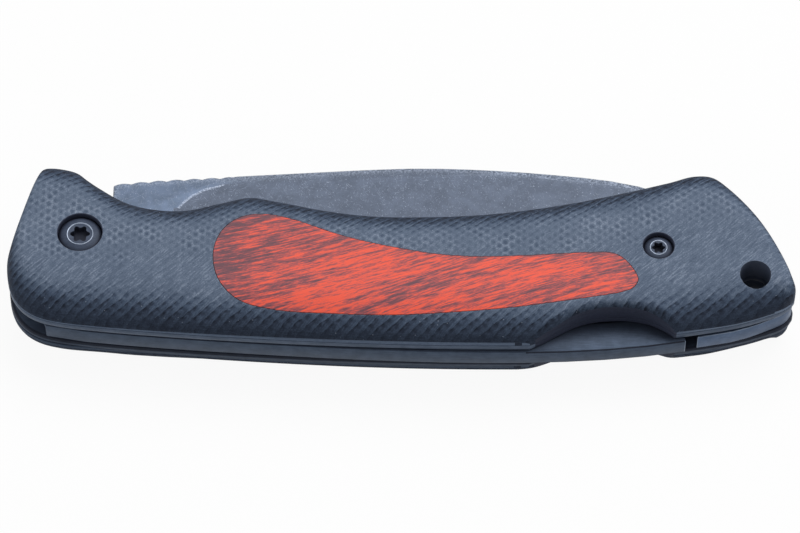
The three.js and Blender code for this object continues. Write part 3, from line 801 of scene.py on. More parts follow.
# %% Model a screw
def screw(name, centre, radius, seat, rim, dome, ring, recess, shank, tip):
    head = drum(name, centre, radius, seat, seat + rim)
    profile = []
    for step in range(1, 9):
        reach = mix(radius, ring + 0.09, step / 8)
        profile.append((reach, seat + rim + dome * (1 - (reach / radius) ** 2) ** 0.6))
    crest = profile[-1][1]
    profile += [(ring + 0.04, crest + 0.05), (ring - 0.03, crest + 0.05), (ring - 0.1, crest - 0.06)]
    pick(head, "FACE", lambda face: face.normal.z > 0.9)
    now, level = radius, seat + rim
    for reach, height in profile:
        bpy.ops.mesh.inset(thickness=now - reach)
        bpy.ops.transform.translate(value=(0, 0, height - level))
        now, level = reach, height
    done()
    pick(head, "FACE", lambda face: face.normal.z < -0.9)
    bpy.ops.mesh.inset(thickness=radius - shank)
    extrude_up(tip - seat)
    done()
    carve(head, plate(name + "_drive", lobed(centre, recess), level - 1.1, level + 1))
    outwards(head)
    break_edges(head, 0.035, segments=1, angle=50)

    def on_ring(place, normal):
        return place.z > seat + rim and ring - 0.09 < (place.xy - centre).length < ring + 0.07

    def in_recess(place, normal):
        return level - 1.2 < place.z < level - 0.05 and (place.xy - centre).length < recess + 0.02

    # the recess gets a near-black finish, painted shade, and the ring a bright one, a painted highlight
    number_faces(head, CUT, in_recess)
    return number_faces(head, EDGE, on_ring)


pivot_head = {"centre": PIVOT, "radius": PIVOT_HEAD, "seat": PIVOT_SEAT}
pivot_head.update(rim=1.6, dome=0.85, ring=1.85, recess=1.45)
body_head = {"centre": BODY_SCREW, "radius": BODY_HEAD, "seat": BODY_SEAT}
body_head.update(rim=1.2, dome=0.7, ring=1.2, recess=0.98)
pivot_screw = screw("screw_pivot", **pivot_head, shank=1.25, tip=PIVOT_SEAT - 5.6)
body_screw = screw("screw_body_front", **body_head, shank=1.2, tip=middle + 0.4)
rear_body_screw = mirrored(body_screw, "screw_body_rear")

# %% [markdown]
# The barrel has the same head on the rear side. Its shank is wide, because the blade turns on it,
# and it is bored out for the screw.

# %% Model the barrel
BARREL, BARREL_THREAD = 2.38, 1.28
barrel_end = 2 * middle - PIVOT_SEAT + 0.1
barrel_front = screw("barrel_front", **pivot_head, shank=BARREL, tip=barrel_end)
carve(barrel_front, drum("barrel_bore", PIVOT, BARREL_THREAD, 0, 2 * middle - liner_low + 1.2, 64))
barrel = mirrored(outwards(barrel_front), "barrel")
bpy.data.objects.remove(barrel_front)
print("the blade turns on a barrel", 2 * BARREL, "mm wide")

# %% [markdown]
# ## Washers, sleeve and pins
# These sit inside the handle. A ring is a drum bored through, with a little room to run on its pin,
# and a pin is a drum with chamfered ends, so that it can be pressed into its holes.

# %% Model the rings and pins
RUNNING_ROOM = 0.06


def ring(name, centre, bore, radius, low, high, chamfer):
    made = drum(name, centre, radius, low, high)
    carve(made, drum("bore", centre, bore, low - 1, high + 1))
    return break_edges(outwards(made), chamfer, segments=1, angle=50)


def pin(name, centre, radius):
    made = drum(name, centre, radius, 2 * middle - liner_high, liner_high, 64)
    return break_edges(made, 0.15, angle=50)


pivot_washer = ring("washer_pivot_front", PIVOT, BARREL + RUNNING_ROOM, 6, bar_high, liner_low, 0.04)
lock_washer = ring("washer_lock_front", LOCK_PIN, PIN_RADIUS + RUNNING_ROOM, 2, bar_high, liner_low, 0.04)
sleeve = ring("sleeve", BODY_SCREW, SCREW_BORE, SLEEVE_RADIUS, 2 * middle - liner_high, liner_high, 0.1)
lock_pin = pin("pin_lock", LOCK_PIN, PIN_RADIUS)
dowel = pin("dowel", DOWEL, DOWEL_RADIUS)
print("each washer is", round(liner_low - bar_high, 2), "mm thick")

# %% [markdown]
# ## The leaf spring
# One flat spring lifts the tail of the lock bar. It is held by its root in the slot of the spacer,
# and its free end follows the bar. It is drawn as a strip along a smooth line with many steps.

# %% Model the spring
SPRING_PATH = [(47.6, -5.1), (43, -5.3), (37, -6.5), (30, -8.2), (23.5, -9.7), (18.5, -10.35)]
SPRING_THICKNESS, SPRING_WIDTH = 0.7, 2.8


def strip(points, half):
    sides = ([], [])
    for k, point in enumerate(points):
        run = (points[min(k + 1, len(points) - 1)] - points[max(k - 1, 0)]).normalized()
        across = Vector((-run.y, run.x)) * half
        sides[0].append(point - across)
        sides[1].append(point + across)
    return sides[1] + sides[0][::-1]


spring_outline = strip(smooth_line(SPRING_PATH, 60), SPRING_THICKNESS / 2)
spring = plate("spring", spring_outline, middle - SPRING_WIDTH / 2, middle + SPRING_WIDTH / 2)
break_edges(spring, 0.06, segments=1, angle=50)
print("the spring's strip has", len(spring_outline), "points")

# %% [markdown]
# ## The rear half
# The rear scale, inlay and washers are mirror images of the front ones. The knife lies and slides on
# its rear side, so the rim of the rear scale is worn back a little along the back edge and at the
# butt. At the pivot end it stands out a little more than the front one. Each of these fades in
# between two places, in millimetres, so that no step shows.

# %% Mirror the front pieces and wear the rear rim
BACK_WEAR, BUTT_WEAR, FRONT_PROUD = 0.28, 0.35, 0.2
rear_pivot_washer = mirrored(pivot_washer, "washer_pivot_rear")
rear_lock_washer = mirrored(lock_washer, "washer_lock_rear")
rear_scale = mirrored(front_scale, "scale_rear")
for vertex in rear_scale.data.vertices:
    place = vertex.co
    worn_down = ease(-place.y, 12.5, 13.5) + ease(place.x, 44, 50) * ease(-place.y, 0, 10)
    proud = ease(-place.x, 42, 50) * ease(-place.y, 2, 6)
    place.y += BACK_WEAR * min(1, worn_down) - FRONT_PROUD * proud
    place.x -= BUTT_WEAR * ease(place.x, 50, 57)
rear_inlay = mirrored(front_inlay, "inlay_rear")
print("the rear rim is worn back by", BACK_WEAR, "and", BUTT_WEAR, "mm")

# %% [markdown]
# ## Who rides on what
# Every piece now goes into the row frame and takes the place of its CAD node. The record says which
# body a node belongs to and what it is made of. All of the handle rides on one body. The blade and
# the lock bar each ride on their own, so they swing with their joints.

# %% Hand the pieces over to their bodies
bodies = frame["record"]["behaviour"]["bodies"]
slots = {entry["node"]: entry["material_slot"] for entry in frame["record"]["subparts"]}


def into_row(piece):
    piece.matrix_world = to_row
    place_in_mesh(piece)
    bpy.ops.object.shade_smooth_by_angle(angle=math.radians(32))


dressed = {
    "front_scale": front_scale, "rear_scale": rear_scale, "front_inlay": front_inlay,
    "rear_inlay": rear_inlay, "front_liner": front_liner, "rear_liner": rear_liner,
    "pivot_screw": pivot_screw, "pivot_barrel": barrel, "front_body_screw": body_screw,
    "rear_body_screw": rear_body_screw, "front_washer": pivot_washer, "rear_washer": rear_pivot_washer,
    "front_lock_washer": lock_washer, "rear_lock_washer": rear_lock_washer, "body_sleeve": sleeve,
    "lock_pin": lock_pin, "spacer_dowel": dowel, "back_spacer": spacer, "lock_bar": lock_bar,
    "blade": blade,
}
for cad_node, piece in dressed.items():
    body = next(name for name, nodes in bodies.items() if cad_node in nodes)
    into_row(piece)
    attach(piece, body)
    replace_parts(piece, cad_node)
    print(piece.name, "rides on", body, "with", len(piece.data.polygons), "faces")

# %% Put the spring into the row frame, in place of its CAD node
into_row(spring)
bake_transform(spring)
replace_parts(spring, "lock_spring")

# %% [markdown]
# ## Materials from nodes
# Every finish is built from nodes that read Object coordinates. They are in metres, so they are first
# turned into millimetres. `node` adds a node and fills its sockets. `joined` does the same in the
# node tree of the sockets that it is given, so the helpers after it need no tree of their own.

# %% Add a node
def node(tree, kind, values=None, **settings):
    made = tree.nodes.new("ShaderNode" + kind)
    for name, value in settings.items():
        setattr(made, name, value)
    for key, value in (values or {}).items():
        if isinstance(value, bpy.types.NodeSocket):
            tree.links.new(value, made.inputs[key])
        else:
            made.inputs[key].default_value = value
    return made


def joined(kind, values, **settings):
    tree = next(value.id_data for value in values.values() if isinstance(value, bpy.types.NodeSocket))
    return node(tree, kind, values, **settings)


def feed(inputs, **values):
    for name, value in values.items():
        value.id_data.links.new(value, inputs[name.replace("_", " ")])


# %% Arithmetic
def maths(operation, *terms):
    return joined("Math", dict(enumerate(terms)), operation=operation).outputs[0]


def chain(operation, terms):
    total = terms[0]
    for term in terms[1:]:
        total = maths(operation, total, term)
    return total


def plus(*terms):
    return chain("ADD", terms)


def highest(*terms):
    return chain("MAXIMUM", terms)


def times(first, second):
    return maths("MULTIPLY", first, second)


def minus(first, second):
    return maths("SUBTRACT", first, second)


def over(first, second):
    return maths("DIVIDE", first, second)


def around(value, amount, centre=0.5):
    """How far a value lies above its centre, times an amount."""
    return times(minus(value, centre), amount)


def ramp(value, low, high):
    """0 below low, 1 above high, and smooth between."""
    values = {"Value": value, "From Min": low, "From Max": high}
    return joined("MapRange", values, interpolation_type="SMOOTHSTEP").outputs[0]


def fading(value, low, high):
    return minus(1, ramp(value, low, high))


# %% Places, noise and colours
def xyz(place):
    return tuple(joined("SeparateXYZ", {0: place}).outputs)


def mapped(place, scale=(1, 1, 1), move=(0, 0, 0)):
    return joined("Mapping", {"Vector": place, "Scale": scale, "Location": move}).outputs[0]


def along_grain(place, turn, length, width, depth=1.0):
    """Places for a noise whose spots are drawn out to a length and a width, turned from the X axis."""
    values = {"Vector": place, "Rotation": (0, 0, math.radians(turn)), "Scale": (length, width, depth)}
    return joined("Mapping", values, vector_type="TEXTURE").outputs[0]


def noise(place, scale, detail=2.0, roughness=0.5):
    values = {"Vector": place, "Scale": scale, "Detail": detail, "Roughness": roughness}
    return joined("TexNoise", values).outputs["Fac"]


def blended(share, first, second):
    return joined("Mix", {0: share, 6: first, 7: second}, data_type="RGBA").outputs[2]


def colour_scale(value, *stops):
    made = joined("ValToRGB", {0: value})
    bands = made.color_ramp.elements
    bands[0].position, bands[-1].position = stops[0][0], stops[-1][0]
    bands[0].color, bands[-1].color = (*stops[0][1], 1), (*stops[-1][1], 1)
    for position, colour in stops[1:-1]:
        bands.new(position).color = (*colour, 1)
    return made.outputs[0]


def bumped(height, distance):
    return joined("Bump", {"Height": height, "Distance": distance * MM}).outputs[0]


# %% Groups and materials
def new_group(name, inputs, outputs):
    tree = bpy.data.node_groups.new(name, "ShaderNodeTree")
    for label, value in inputs.items():
        kind = "NodeSocketVector" if value is None else "NodeSocketFloat"
        socket = tree.interface.new_socket(label, in_out="INPUT", socket_type=kind)
        if value is not None:
            socket.default_value = value
    for label in outputs:
        tree.interface.new_socket(label, in_out="OUTPUT", socket_type="NodeSocketFloat")
    return tree, tree.nodes.new("NodeGroupInput").outputs, tree.nodes.new("NodeGroupOutput").inputs


def mask_from(group, place, **values):
    return joined("Group", {"Place": place, **values}, node_tree=group).outputs[0]


def counted(material):
    print(material.name, "has", len(material.node_tree.nodes), "nodes")
    return material


def new_material(name, **plain):
    material = bpy.data.materials.new(name)
    material.use_nodes = True
    shader = material.node_tree.nodes["Principled BSDF"]
    for socket, value in plain.items():
        shader.inputs[socket.replace("_", " ")].default_value = value
    coordinates = node(material.node_tree, "TexCoord").outputs["Object"]
    return material, shader, mapped(coordinates, scale=(1 / MM,) * 3)


# %% [markdown]
# ## Edge wear
# Handling rubs the finish off the edges. The Bevel node gives the normal that the surface would have
# if its edges were rounded. Where that differs from the real normal there is an edge, and noise
# breaks the line up. The group puts out a mask, and each material decides what wear looks like.
# `Full` is the difference between the normals at which the wear is complete.

# %% Group: edge wear
edge_wear, given, result = new_group(
    "edge_wear", {"Place": None, "Radius": 0.12, "Grain": 1.5, "Full": 0.16}, ["Mask"]
)
rounded = joined("Bevel", {"Radius": times(given["Radius"], MM)}, samples=4).outputs[0]
plain_normal = node(edge_wear, "NewGeometry").outputs["Normal"]
likeness = joined("VectorMath", {0: rounded, 1: plain_normal}, operation="DOT_PRODUCT").outputs["Value"]
worn_line = ramp(minus(1, likeness), 0.004, given["Full"])
feed(result, Mask=times(worn_line, ramp(noise(given["Place"], given["Grain"], 3), 0.35, 0.65)))
print("edge_wear has", len(edge_wear.nodes), "nodes")

# %% [markdown]
# ## Speckles
# Tiny bright dots lie on the laminate and on the tumbled steel. A Voronoi texture gives one random
# colour to each cell, so a threshold on it keeps only a small share of the cells, and the distance
# to the middle of the cell makes the dot.

# %% Group: speckles
speckles, given, result = new_group(
    "speckles", {"Place": None, "Scale": 2.0, "Share": 0.1, "Size": 0.3}, ["Mask"]
)
voronoi = joined("TexVoronoi", {"Vector": given["Place"], "Scale": given["Scale"]}).outputs
chance = joined("SeparateColor", {0: voronoi["Color"]}).outputs[0]
kept = maths("LESS_THAN", chance, given["Share"])
feed(result, Mask=times(kept, fading(over(voronoi["Distance"], given["Size"]), 0.4, 1)))
print("speckles has", len(speckles.nodes), "nodes")

# %% [markdown]
# ## Crevices
# Less light reaches where two pieces meet, so the colour is darkened there: painted shade. The
# Ambient Occlusion node tells how much of the surroundings a point can see within a short reach.

# %% Group: crevice
crevice_shade, given, result = new_group("crevice_shade", {"Reach": 1.0}, ["Mask"])
distance = times(given["Reach"], MM)
openness = joined("AmbientOcclusion", {"Distance": distance}, samples=6).outputs["AO"]
feed(result, Mask=fading(openness, 0.35, 0.92))
print("crevice has", len(crevice_shade.nodes), "nodes")


def painted_shade(shader, reach):
    return node(shader.id_data, "Group", {"Reach": reach}, node_tree=crevice_shade).outputs[0]


# %% [markdown]
# ## Woven laminate
# The laminate is cloth in resin, pressed in thin layers. Each layer follows the hills and valleys of
# the weave. When the crown is machined through them, each layer shows as a contour line: honeycomb
# cells where the face is flat, and slanting ridges where it rolls off. So the pattern isn't drawn.
# The height of the weave is two crossing waves, and depth plus height, counted in layers, gives low
# steps in the surface. Where three waves meet lie the net of the honeycomb and the spots in its
# cells. The ridges are wedges along one of the waves.

# %% Group: woven layers
weave, given, result = new_group(
    "woven_layers",
    {"Place": None, "Thread X": 0.9, "Thread Y": 0.67, "Layer": 0.45, "Depth": 0.24, "Twill": 0.7},
    ["Net", "Spot", "Steps", "Wedge"],
)
wander = joined("TexNoise", {"Vector": given["Place"], "Scale": 0.5, "Detail": 2.0}).outputs["Color"]
wander = joined("VectorMath", {0: wander, 1: (0.5, 0.5, 0.5)}, operation="SUBTRACT").outputs[0]
wander = joined("VectorMath", {0: wander, "Scale": 0.7}, operation="SCALE").outputs[0]
x, y, z = xyz(joined("VectorMath", {0: given["Place"], 1: wander}).outputs[0])
along = times(over(x, given["Thread X"]), math.pi)
across = times(over(y, given["Thread Y"]), math.pi)
rising = maths("COSINE", minus(along, across))
falling = maths("COSINE", plus(along, across))
upright = maths("COSINE", times(along, 2))
hills = plus(times(rising, given["Twill"]), times(falling, minus(1, given["Twill"])))
depth = plus(maths("ABSOLUTE", minus(z, middle)), times(hills, given["Depth"]))
sag = times(noise(given["Place"], 0.09, 1), 1.3)
bow = times(maths("POWER", maths("ABSOLUTE", y), 2), 0.004)
layer_part = maths("FRACT", over(plus(depth, plus(sag, bow)), given["Layer"]))
to_seam = maths("ABSOLUTE", minus(times(layer_part, 2), 1))
meeting = plus(rising, falling, upright)
phase = maths("FRACT", over(minus(across, along), 2 * math.pi))
wedge = times(maths("POWER", phase, 1.6), plus(times(falling, 0.3), 0.7))
net, spot = fading(meeting, -1.1, -0.55), ramp(meeting, 0.3, 1.7)
feed(result, Net=net, Spot=spot, Steps=ramp(to_seam, 0.0, 1.0), Wedge=wedge)
print("woven_layers has", len(weave.nodes), "nodes")

# %% [markdown]
# The honeycomb shows on the flat of the crown, on its open side, and the ridges on both rolls. Each
# kind of mark adds its own share to one tone, and so does painted shade: the tone falls as the crown
# rolls off, and a little more on its open roll. The dark side of each ridge is partly the layers' own
# colour and partly painted shade. A colour scale turns the tone into colour. In these cells a number
# beside a place is in millimetres, and an amount is a share of the tone.

# %% Laminate: where the crown is flat and where the honeycomb shows
laminate, shader, place = new_material("laminate_face", Roughness=0.7, Specular_IOR_Level=0.1)
x, y, z = xyz(place)
height = maths("ABSOLUTE", minus(z, middle))
flatness = ramp(height, 6.0, 6.88)
slope = minus(1, flatness)
foot = fading(height, 4.4, 5.4)
open_roll = times(slope, ramp(y, 0, 5))
clouds = noise(place, 0.16, 2)
border = plus(minus(times(ramp(x, 26, 42), 6), 2.5), around(clouds, 8))
honeycomb = times(ramp(minus(y, border), -1.5, 1), flatness)

# %% Laminate: what each kind of mark adds to the tone
twill = plus(0.6, times(slope, 0.22))
cloth = joined("Group", {"Place": place, "Twill": twill}, node_tree=weave).outputs
fuzz = noise(place, 4.5, 4, 0.7)
hatch = noise(along_grain(place, 44, 1.6, 0.24), 1, 3, 0.6)
layers = noise(mapped(place, scale=(0.9, 0.9, 6)), 1, 2, 0.6)
faint = ramp(noise(place, 0.35, 3, 0.6), 0.35, 0.7)
net = around(cloth["Net"], times(faint, 0.1), 0.3)
spots = times(minus(0.25, cloth["Spot"]), plus(0.05, times(faint, 0.11)))
# the wedges darken one side of each ridge: partly the layers' colour, partly painted shade
shingles = minus(0.3, cloth["Wedge"])
bold = times(minus(slope, times(foot, 0.75)), 0.4)
hatching = plus(minus(0.62, times(plus(honeycomb, foot), 0.42)), times(open_roll, 0.45))
tone = plus(
    0.275,
    # painted shade: lighter where the crown is flat, darker as it rolls off
    times(ramp(height, 5.3, 6.85), 0.445),
    times(plus(net, spots), honeycomb),
    # painted shade: a little darker on the open roll
    times(open_roll, -0.07),
    times(shingles, plus(bold, 0.04)),
    around(hatch, hatching),
    around(fuzz, 0.5),
    around(layers, times(foot, 0.3)),
    around(clouds, 0.15),
)

# %% Laminate: colours, dots, worn edges and relief
base = colour_scale(
    tone, (0.0, (0.008, 0.011, 0.02)), (0.25, (0.023, 0.032, 0.053)), (0.5, (0.053, 0.076, 0.12)),
    (0.75, (0.12, 0.156, 0.22)), (1.0, (0.3, 0.35, 0.44)),
)
dots = mask_from(speckles, place, Scale=1.5, Share=0.25, Size=0.12)
rubbed = mask_from(edge_wear, place, Radius=0.1, Grain=3.0)
base = blended(highest(times(dots, 0.7), times(rubbed, 0.8)), base, (0.36, 0.41, 0.5, 1))
relief = plus(times(cloth["Wedge"], times(slope, -1)), times(cloth["Steps"], 0.2))
relief = plus(relief, times(plus(fuzz, hatch), 0.4))
feed(shader.inputs, Base_Color=base, Normal=bumped(relief, 0.08))
counted(laminate)


# %% [markdown]
# The upright band at the foot of the scale and the walls of its openings are the same laminate, cut
# across its layers. There the layers are only hair lines, so a band of stretched noise is enough.
# Towards the butt the band is rubbed lighter by the pocket, and the corners are darkened, painted
# shade. The rear scale gets a darker copy of the band, which is painted shade too.

# %% Laminate across its layers
RUBBED_FROM, RUBBED_TO = 38, 45


def cut_laminate(name, dark, light, shade_share, rubbing):
    material, shader, place = new_material(name, Roughness=0.6, Specular_IOR_Level=0.15)
    layers = noise(mapped(place, scale=(0.25, 0.25, 7)), 1, 2, 0.6)
    mask = plus(times(layers, 0.6), times(noise(place, 2.5, 3, 0.6), 0.4))
    colour = blended(ramp(mask, 0.35, 0.65), dark, light)
    butt = ramp(xyz(place)[0], RUBBED_FROM, RUBBED_TO)
    colour = blended(times(butt, rubbing), colour, (0.28, 0.35, 0.48, 1))
    # painted shade: the corners are darkened by the crevice group
    colour = blended(times(painted_shade(shader, 0.7), shade_share), colour, (0.012, 0.013, 0.02, 1))
    feed(shader.inputs, Base_Color=colour, Normal=bumped(mask, 0.02))
    return counted(material)


band = cut_laminate("laminate_band", (0.095, 0.132, 0.205, 1), (0.15, 0.205, 0.3, 1), 0.5, 0.4)
# a darker copy of the band for the rear scale: painted shade
shaded_rear_band = cut_laminate("laminate_rear_band", (0.046, 0.066, 0.104, 1), (0.072, 0.1, 0.152, 1), 0.8, 0.05)
# the dark wall finish: on the scale partly laminate cut across its layers, partly painted shade; on steel pieces
# only painted shade
wall = cut_laminate("laminate_wall", (0.024, 0.029, 0.05, 1), (0.035, 0.042, 0.07, 1), 0.25, 0.2)

# %% [markdown]
# ## Streaked wood
# The inlay is dyed wood with dark streaks. The grain runs along the handle and rises a little, more
# in the middle than at the ends. Noise that is stretched along the grain makes the streaks, finer
# noises make the fibres and the pores between them, and a larger one decides where they gather.

# %% Wood: the grain
wood, shader, place = new_material("dyed_wood", Roughness=0.5, Specular_IOR_Level=0.25)
x, y, z = xyz(place)
swing = maths("SINE", times(minus(x, 7), 0.075))
flat_y = minus(y, plus(times(x, 0.27), times(swing, 1.1)))
grain = joined("CombineXYZ", {0: x, 1: flat_y, 2: z}).outputs[0]
streaks = noise(along_grain(grain, 0, 3.4, 0.42), 1, 3, 0.6)
fibres = noise(along_grain(grain, 0, 1.8, 0.13), 1, 3, 0.65)
pores = noise(along_grain(grain, 0, 0.5, 0.16), 1, 2, 0.7)
patches = noise(along_grain(mapped(grain, move=(3, 1, 0)), 0, 13, 2.6, 5), 1, 1)

# %% [markdown]
# The wood is darker at the top of its rounded end, and lighter at the bottom of it.

# %% Wood: where the dark streaks gather, and the colours
to_left, to_top = fading(x, -27, -8), ramp(plus(flat_y, 2), -5, 5)
darkness = plus(
    minus(plus(times(streaks, 0.85), times(fibres, 0.6)), 0.21),
    times(ramp(x, 5, 25), 0.02),
    times(to_left, minus(times(to_top, 0.21), 0.09)),
    around(patches, 0.45),
    around(pores, 0.3),
)
colour = colour_scale(
    darkness, (0.39, (0.84, 0.1, 0.054)), (0.47, (0.68, 0.095, 0.066)), (0.53, (0.44, 0.082, 0.078)),
    (0.6, (0.25, 0.066, 0.074)), (0.7, (0.12, 0.05, 0.066)),
)
feed(shader.inputs, Base_Color=colour, Normal=bumped(fibres, 0.03))
counted(wood)

# %% [markdown]
# ## Steels
# The liners, the bar and the spacer have a dark coating over a fine grind that runs along them. One
# function makes all of the plain steels, and they differ in colour, roughness and painted shade in
# their crevices. The front liner gets a lighter copy of the coating, painted light, and the rear
# liner a darker copy, painted shade.

# %% Steels
def steel_material(name, dark, light, roughness, metallic, bump=0.005, shade_share=0.8, reach=3.2, gloss=0.5):
    material, shader, place = new_material(name, Metallic=metallic, Specular_IOR_Level=gloss)
    brushed = noise(mapped(place, scale=(0.4, 7, 7)), 1, 3, 0.6)
    mask = plus(times(noise(place, 0.5, 3, 0.6), 0.5), times(brushed, 0.5))
    colour = blended(ramp(mask, 0.35, 0.65), (*dark, 1), (*light, 1))
    # painted shade: the crevices are darkened by the crevice group
    colour = blended(times(painted_shade(shader, reach), shade_share), colour, (0.02, 0.023, 0.038, 1))
    rough = plus(times(brushed, 0.15), roughness - 0.07)
    feed(shader.inputs, Base_Color=colour, Roughness=rough, Normal=bumped(brushed, bump))
    return counted(material)


# on the bar the painted shade reaches far, and stands in for the scale's shadow on its side
coated = steel_material(
    "coated_steel", (0.04, 0.06, 0.096), (0.07, 0.1, 0.155), 0.5, 0.25, 0.01, shade_share=0.85, reach=8, gloss=0.25
)
# a lighter copy of the coating for the front liner: painted light
lit_front_coated = steel_material(
    "front_coated_steel", (0.06, 0.085, 0.13), (0.1, 0.135, 0.2), 0.5, 0.25, gloss=0.25
)
# a darker copy of the coating for the rear liner: painted shade
shaded_rear_coated = steel_material(
    "rear_coated_steel", (0.024, 0.036, 0.06), (0.044, 0.063, 0.1), 0.5, 0.25, gloss=0.25
)
plain_spacer = steel_material("spacer_steel", (0.052, 0.082, 0.142), (0.086, 0.128, 0.208), 0.45, 0.7)
worn = steel_material("worn_steel", (0.1, 0.13, 0.18), (0.19, 0.23, 0.3), 0.35, 0.9)
# near black, painted shade: for the bar's tail edges, the rear liner's inner edge and the screw recesses
painted_shade_steel = steel_material("painted_shade_steel", (0.009, 0.012, 0.022), (0.018, 0.024, 0.04), 0.6, 0, gloss=0.15)
spring_steel = steel_material("leaf_spring_steel", (0.24, 0.26, 0.3), (0.36, 0.39, 0.43), 0.35, 1.0)
bronze = steel_material("phosphor_bronze", (0.3, 0.18, 0.07), (0.45, 0.29, 0.12), 0.4, 1.0)
black_oxide = steel_material(
    "black_oxide", (0.03, 0.043, 0.074), (0.054, 0.072, 0.114), 0.5, 0, shade_share=0.9, reach=1.2, gloss=0.2
)
# the ring round a screw's drive: brighter and glossier, a painted highlight
painted_highlight_ring = steel_material(
    "painted_highlight_ring", (0.14, 0.17, 0.22), (0.28, 0.32, 0.4), 0.3, 0.9, shade_share=0.3, reach=0.5
)

# %% [markdown]
# ## Tumbled blade
# The blade was tumbled with stones, which leaves a dull grey with short scratches in all directions
# and small bright nicks. Three noises, each stretched and turned another way, make the scratches.
# The grind is a little browner than the flat beside the plunge. The broken edges get a painted
# highlight, and the edge wear, which reaches far here, paints one along the spine as well as wear.

# %% Blade steel
def tumbled_steel(name, mark_and_highlight, lit_edge):
    material, shader, place = new_material(name, Metallic=0.85)
    blotch = noise(place, 0.45, 5, 0.65)
    mottle = ramp(blotch, 0.3, 0.7)
    flat_tone = blended(mottle, (0.066, 0.088, 0.127, 1), (0.1, 0.131, 0.193, 1))
    grind_tone = blended(mottle, (0.045, 0.055, 0.076, 1), (0.07, 0.085, 0.117, 1))
    facing = xyz(node(shader.id_data, "NewGeometry").outputs["True Normal"])[2]
    flat_side = ramp(maths("ABSOLUTE", facing), 0.9993, 0.9999)
    colour = blended(times(flat_side, fading(xyz(place)[0], -31, -22)), grind_tone, flat_tone)
    scratches = []
    for turn, move in ((12, 0), (74, 5), (128, 9)):
        drawn_out = along_grain(mapped(place, move=(move, move, 0)), turn, 0.9, 0.08)
        scratches.append(ramp(noise(drawn_out, 1, 1), 0.66, 0.76))
    scratched = highest(*scratches)
    nicks = mask_from(speckles, place, Scale=2.6, Share=0.35, Size=0.2)
    # the wide edge wear is wear plus a painted highlight along the spine, and broken paints a highlight on the
    # broken edges where lit_edge is set
    rubbed = mask_from(edge_wear, place, Radius=1.8, Grain=3.5, Full=0.04)
    broken = ramp(noise(place, 3.5, 3, 0.7), 0.3, 0.68)
    bright = highest(times(scratched, 0.5), times(nicks, 0.7), times(rubbed, 0.8), times(broken, lit_edge))
    rough = plus(times(blotch, 0.2), 0.38)
    colour = blended(bright, colour, mark_and_highlight)
    feed(shader.inputs, Base_Color=colour, Roughness=rough, Normal=bumped(scratched, 0.01))
    return counted(material)


blade_finish = tumbled_steel("tumbled_steel", (0.28, 0.32, 0.4, 1), 0.0)
# the broken edges of the blade: the same steel with a painted highlight
painted_highlight_edge = tumbled_steel("painted_highlight_edge", (0.3, 0.34, 0.42, 1), 0.75)

# %% [markdown]
# The record names a material slot for each node, and a slot has up to three finishes: for the main
# faces, the edges and the cut walls. A few pieces have finishes of their own.

# %% Give each piece its finishes
slot_finishes = {
    "laminate": (laminate, band, wall), "wood": (wood,), "dark_steel": (coated, painted_shade_steel, wall),
    "blade_steel": (blade_finish, painted_highlight_edge), "spring_steel": (spring_steel,), "bronze": (bronze,),
    "black_screw": (black_oxide, painted_highlight_ring, painted_shade_steel),
}
own_finishes = {
    "bar": (coated, painted_shade_steel, worn), "spacer": (plain_spacer, worn, wall),
    "scale_rear": (laminate, shaded_rear_band, wall), "liner_front": (lit_front_coated, lit_front_coated, wall),
    "liner_rear": (shaded_rear_coated, painted_shade_steel, wall),
}
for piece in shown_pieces():
    slot = slots[list(piece["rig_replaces"])[0]]
    chosen = own_finishes.get(piece.name, slot_finishes[slot])
    three_slots(piece)
    for number in (MAIN, EDGE, CUT):
        piece.data.materials[number] = chosen[min(number, len(chosen) - 1)]
    only(piece)
    bpy.ops.object.material_slot_remove_unused()

# %% [markdown]
# ## The studio
# The photograph has a plain white ground and soft light from above and behind. The floor and the
# world look white to the camera and in reflections, but light the knife less than that. A lamp on
# each side puts a little light on the ends of the handle.

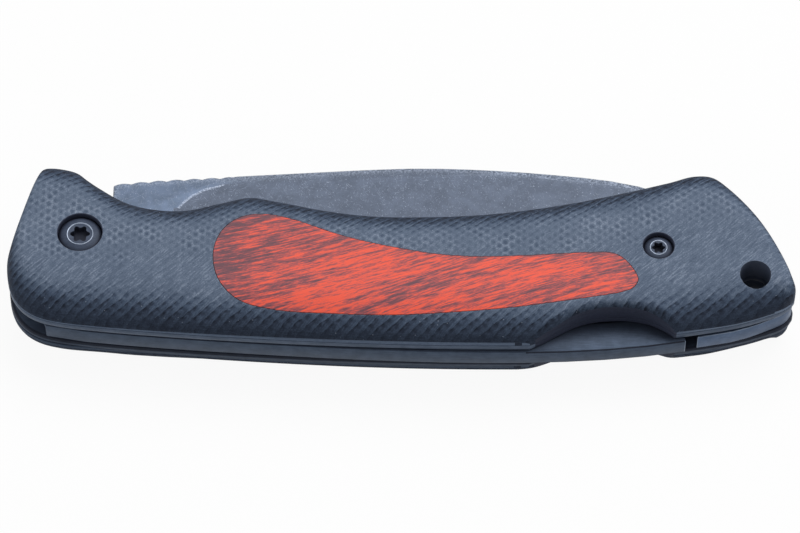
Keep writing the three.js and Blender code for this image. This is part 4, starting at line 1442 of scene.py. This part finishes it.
# %% Floor
bpy.ops.object.select_all(action="DESELECT")
bpy.ops.mesh.primitive_plane_add(size=6)
floor = bpy.context.object
floor.name = "floor"


def seen(tree):
    path = node(tree, "LightPath").outputs
    return highest(*(path[f"Is {kind} Ray"] for kind in ("Camera", "Glossy", "Transmission")))


ground = bpy.data.materials.new("ground")
ground.use_nodes = True
tree = ground.node_tree
shader = tree.nodes["Principled BSDF"]
bounce = node(tree, "LightPath").outputs["Is Diffuse Ray"]
feed(shader.inputs, Base_Color=blended(bounce, (0.85, 0.85, 0.85, 1), (0.35, 0.35, 0.35, 1)))
shader.inputs["Roughness"].default_value = 0.9
white = node(tree, "Emission", {"Color": (1, 1, 1, 1), "Strength": 1}).outputs[0]
mixed = joined("MixShader", {0: times(seen(tree), 0.93), 1: shader.outputs[0], 2: white}).outputs[0]
feed(tree.nodes["Material Output"].inputs, Surface=mixed)
floor.data.materials.append(counted(ground))

# %% World
world = bpy.data.worlds.new("studio")
bpy.context.scene.world = world
world.use_nodes = True
background = world.node_tree.nodes["Background"]
background.inputs["Color"].default_value = (1, 1, 1, 1)
strength = joined("MapRange", {"Value": seen(world.node_tree), "To Min": 0.25, "To Max": 1}).outputs[0]
feed(background.inputs, Strength=strength)
print("the world has", len(world.node_tree.nodes), "nodes")


# %% Lamps
def softbox(name, place, size, power):
    data = bpy.data.lights.new(name, "AREA")
    data.shape = "RECTANGLE"
    data.size, data.size_y = size
    data.energy = power
    lamp = bpy.data.objects.new(name, data)
    bpy.context.scene.collection.objects.link(lamp)
    lamp.location = place
    lamp.rotation_euler = (-Vector(place)).to_track_quat("-Z", "Y").to_euler()
    print("lamp", name, "of", power, "W")


softbox("key", (0.2, 0.38, 0.68), (1.0, 0.6), 6.5)
softbox("fill", (-0.3, -0.6, 0.4), (0.6, 0.3), 0.55)
softbox("left", (-0.7, -0.1, 0.2), (0.4, 0.3), 0.75)
softbox("right", (0.7, -0.1, 0.2), (0.4, 0.3), 0.75)

# %% The colour view, and the last line
bpy.context.scene.view_settings.view_transform = "Standard"
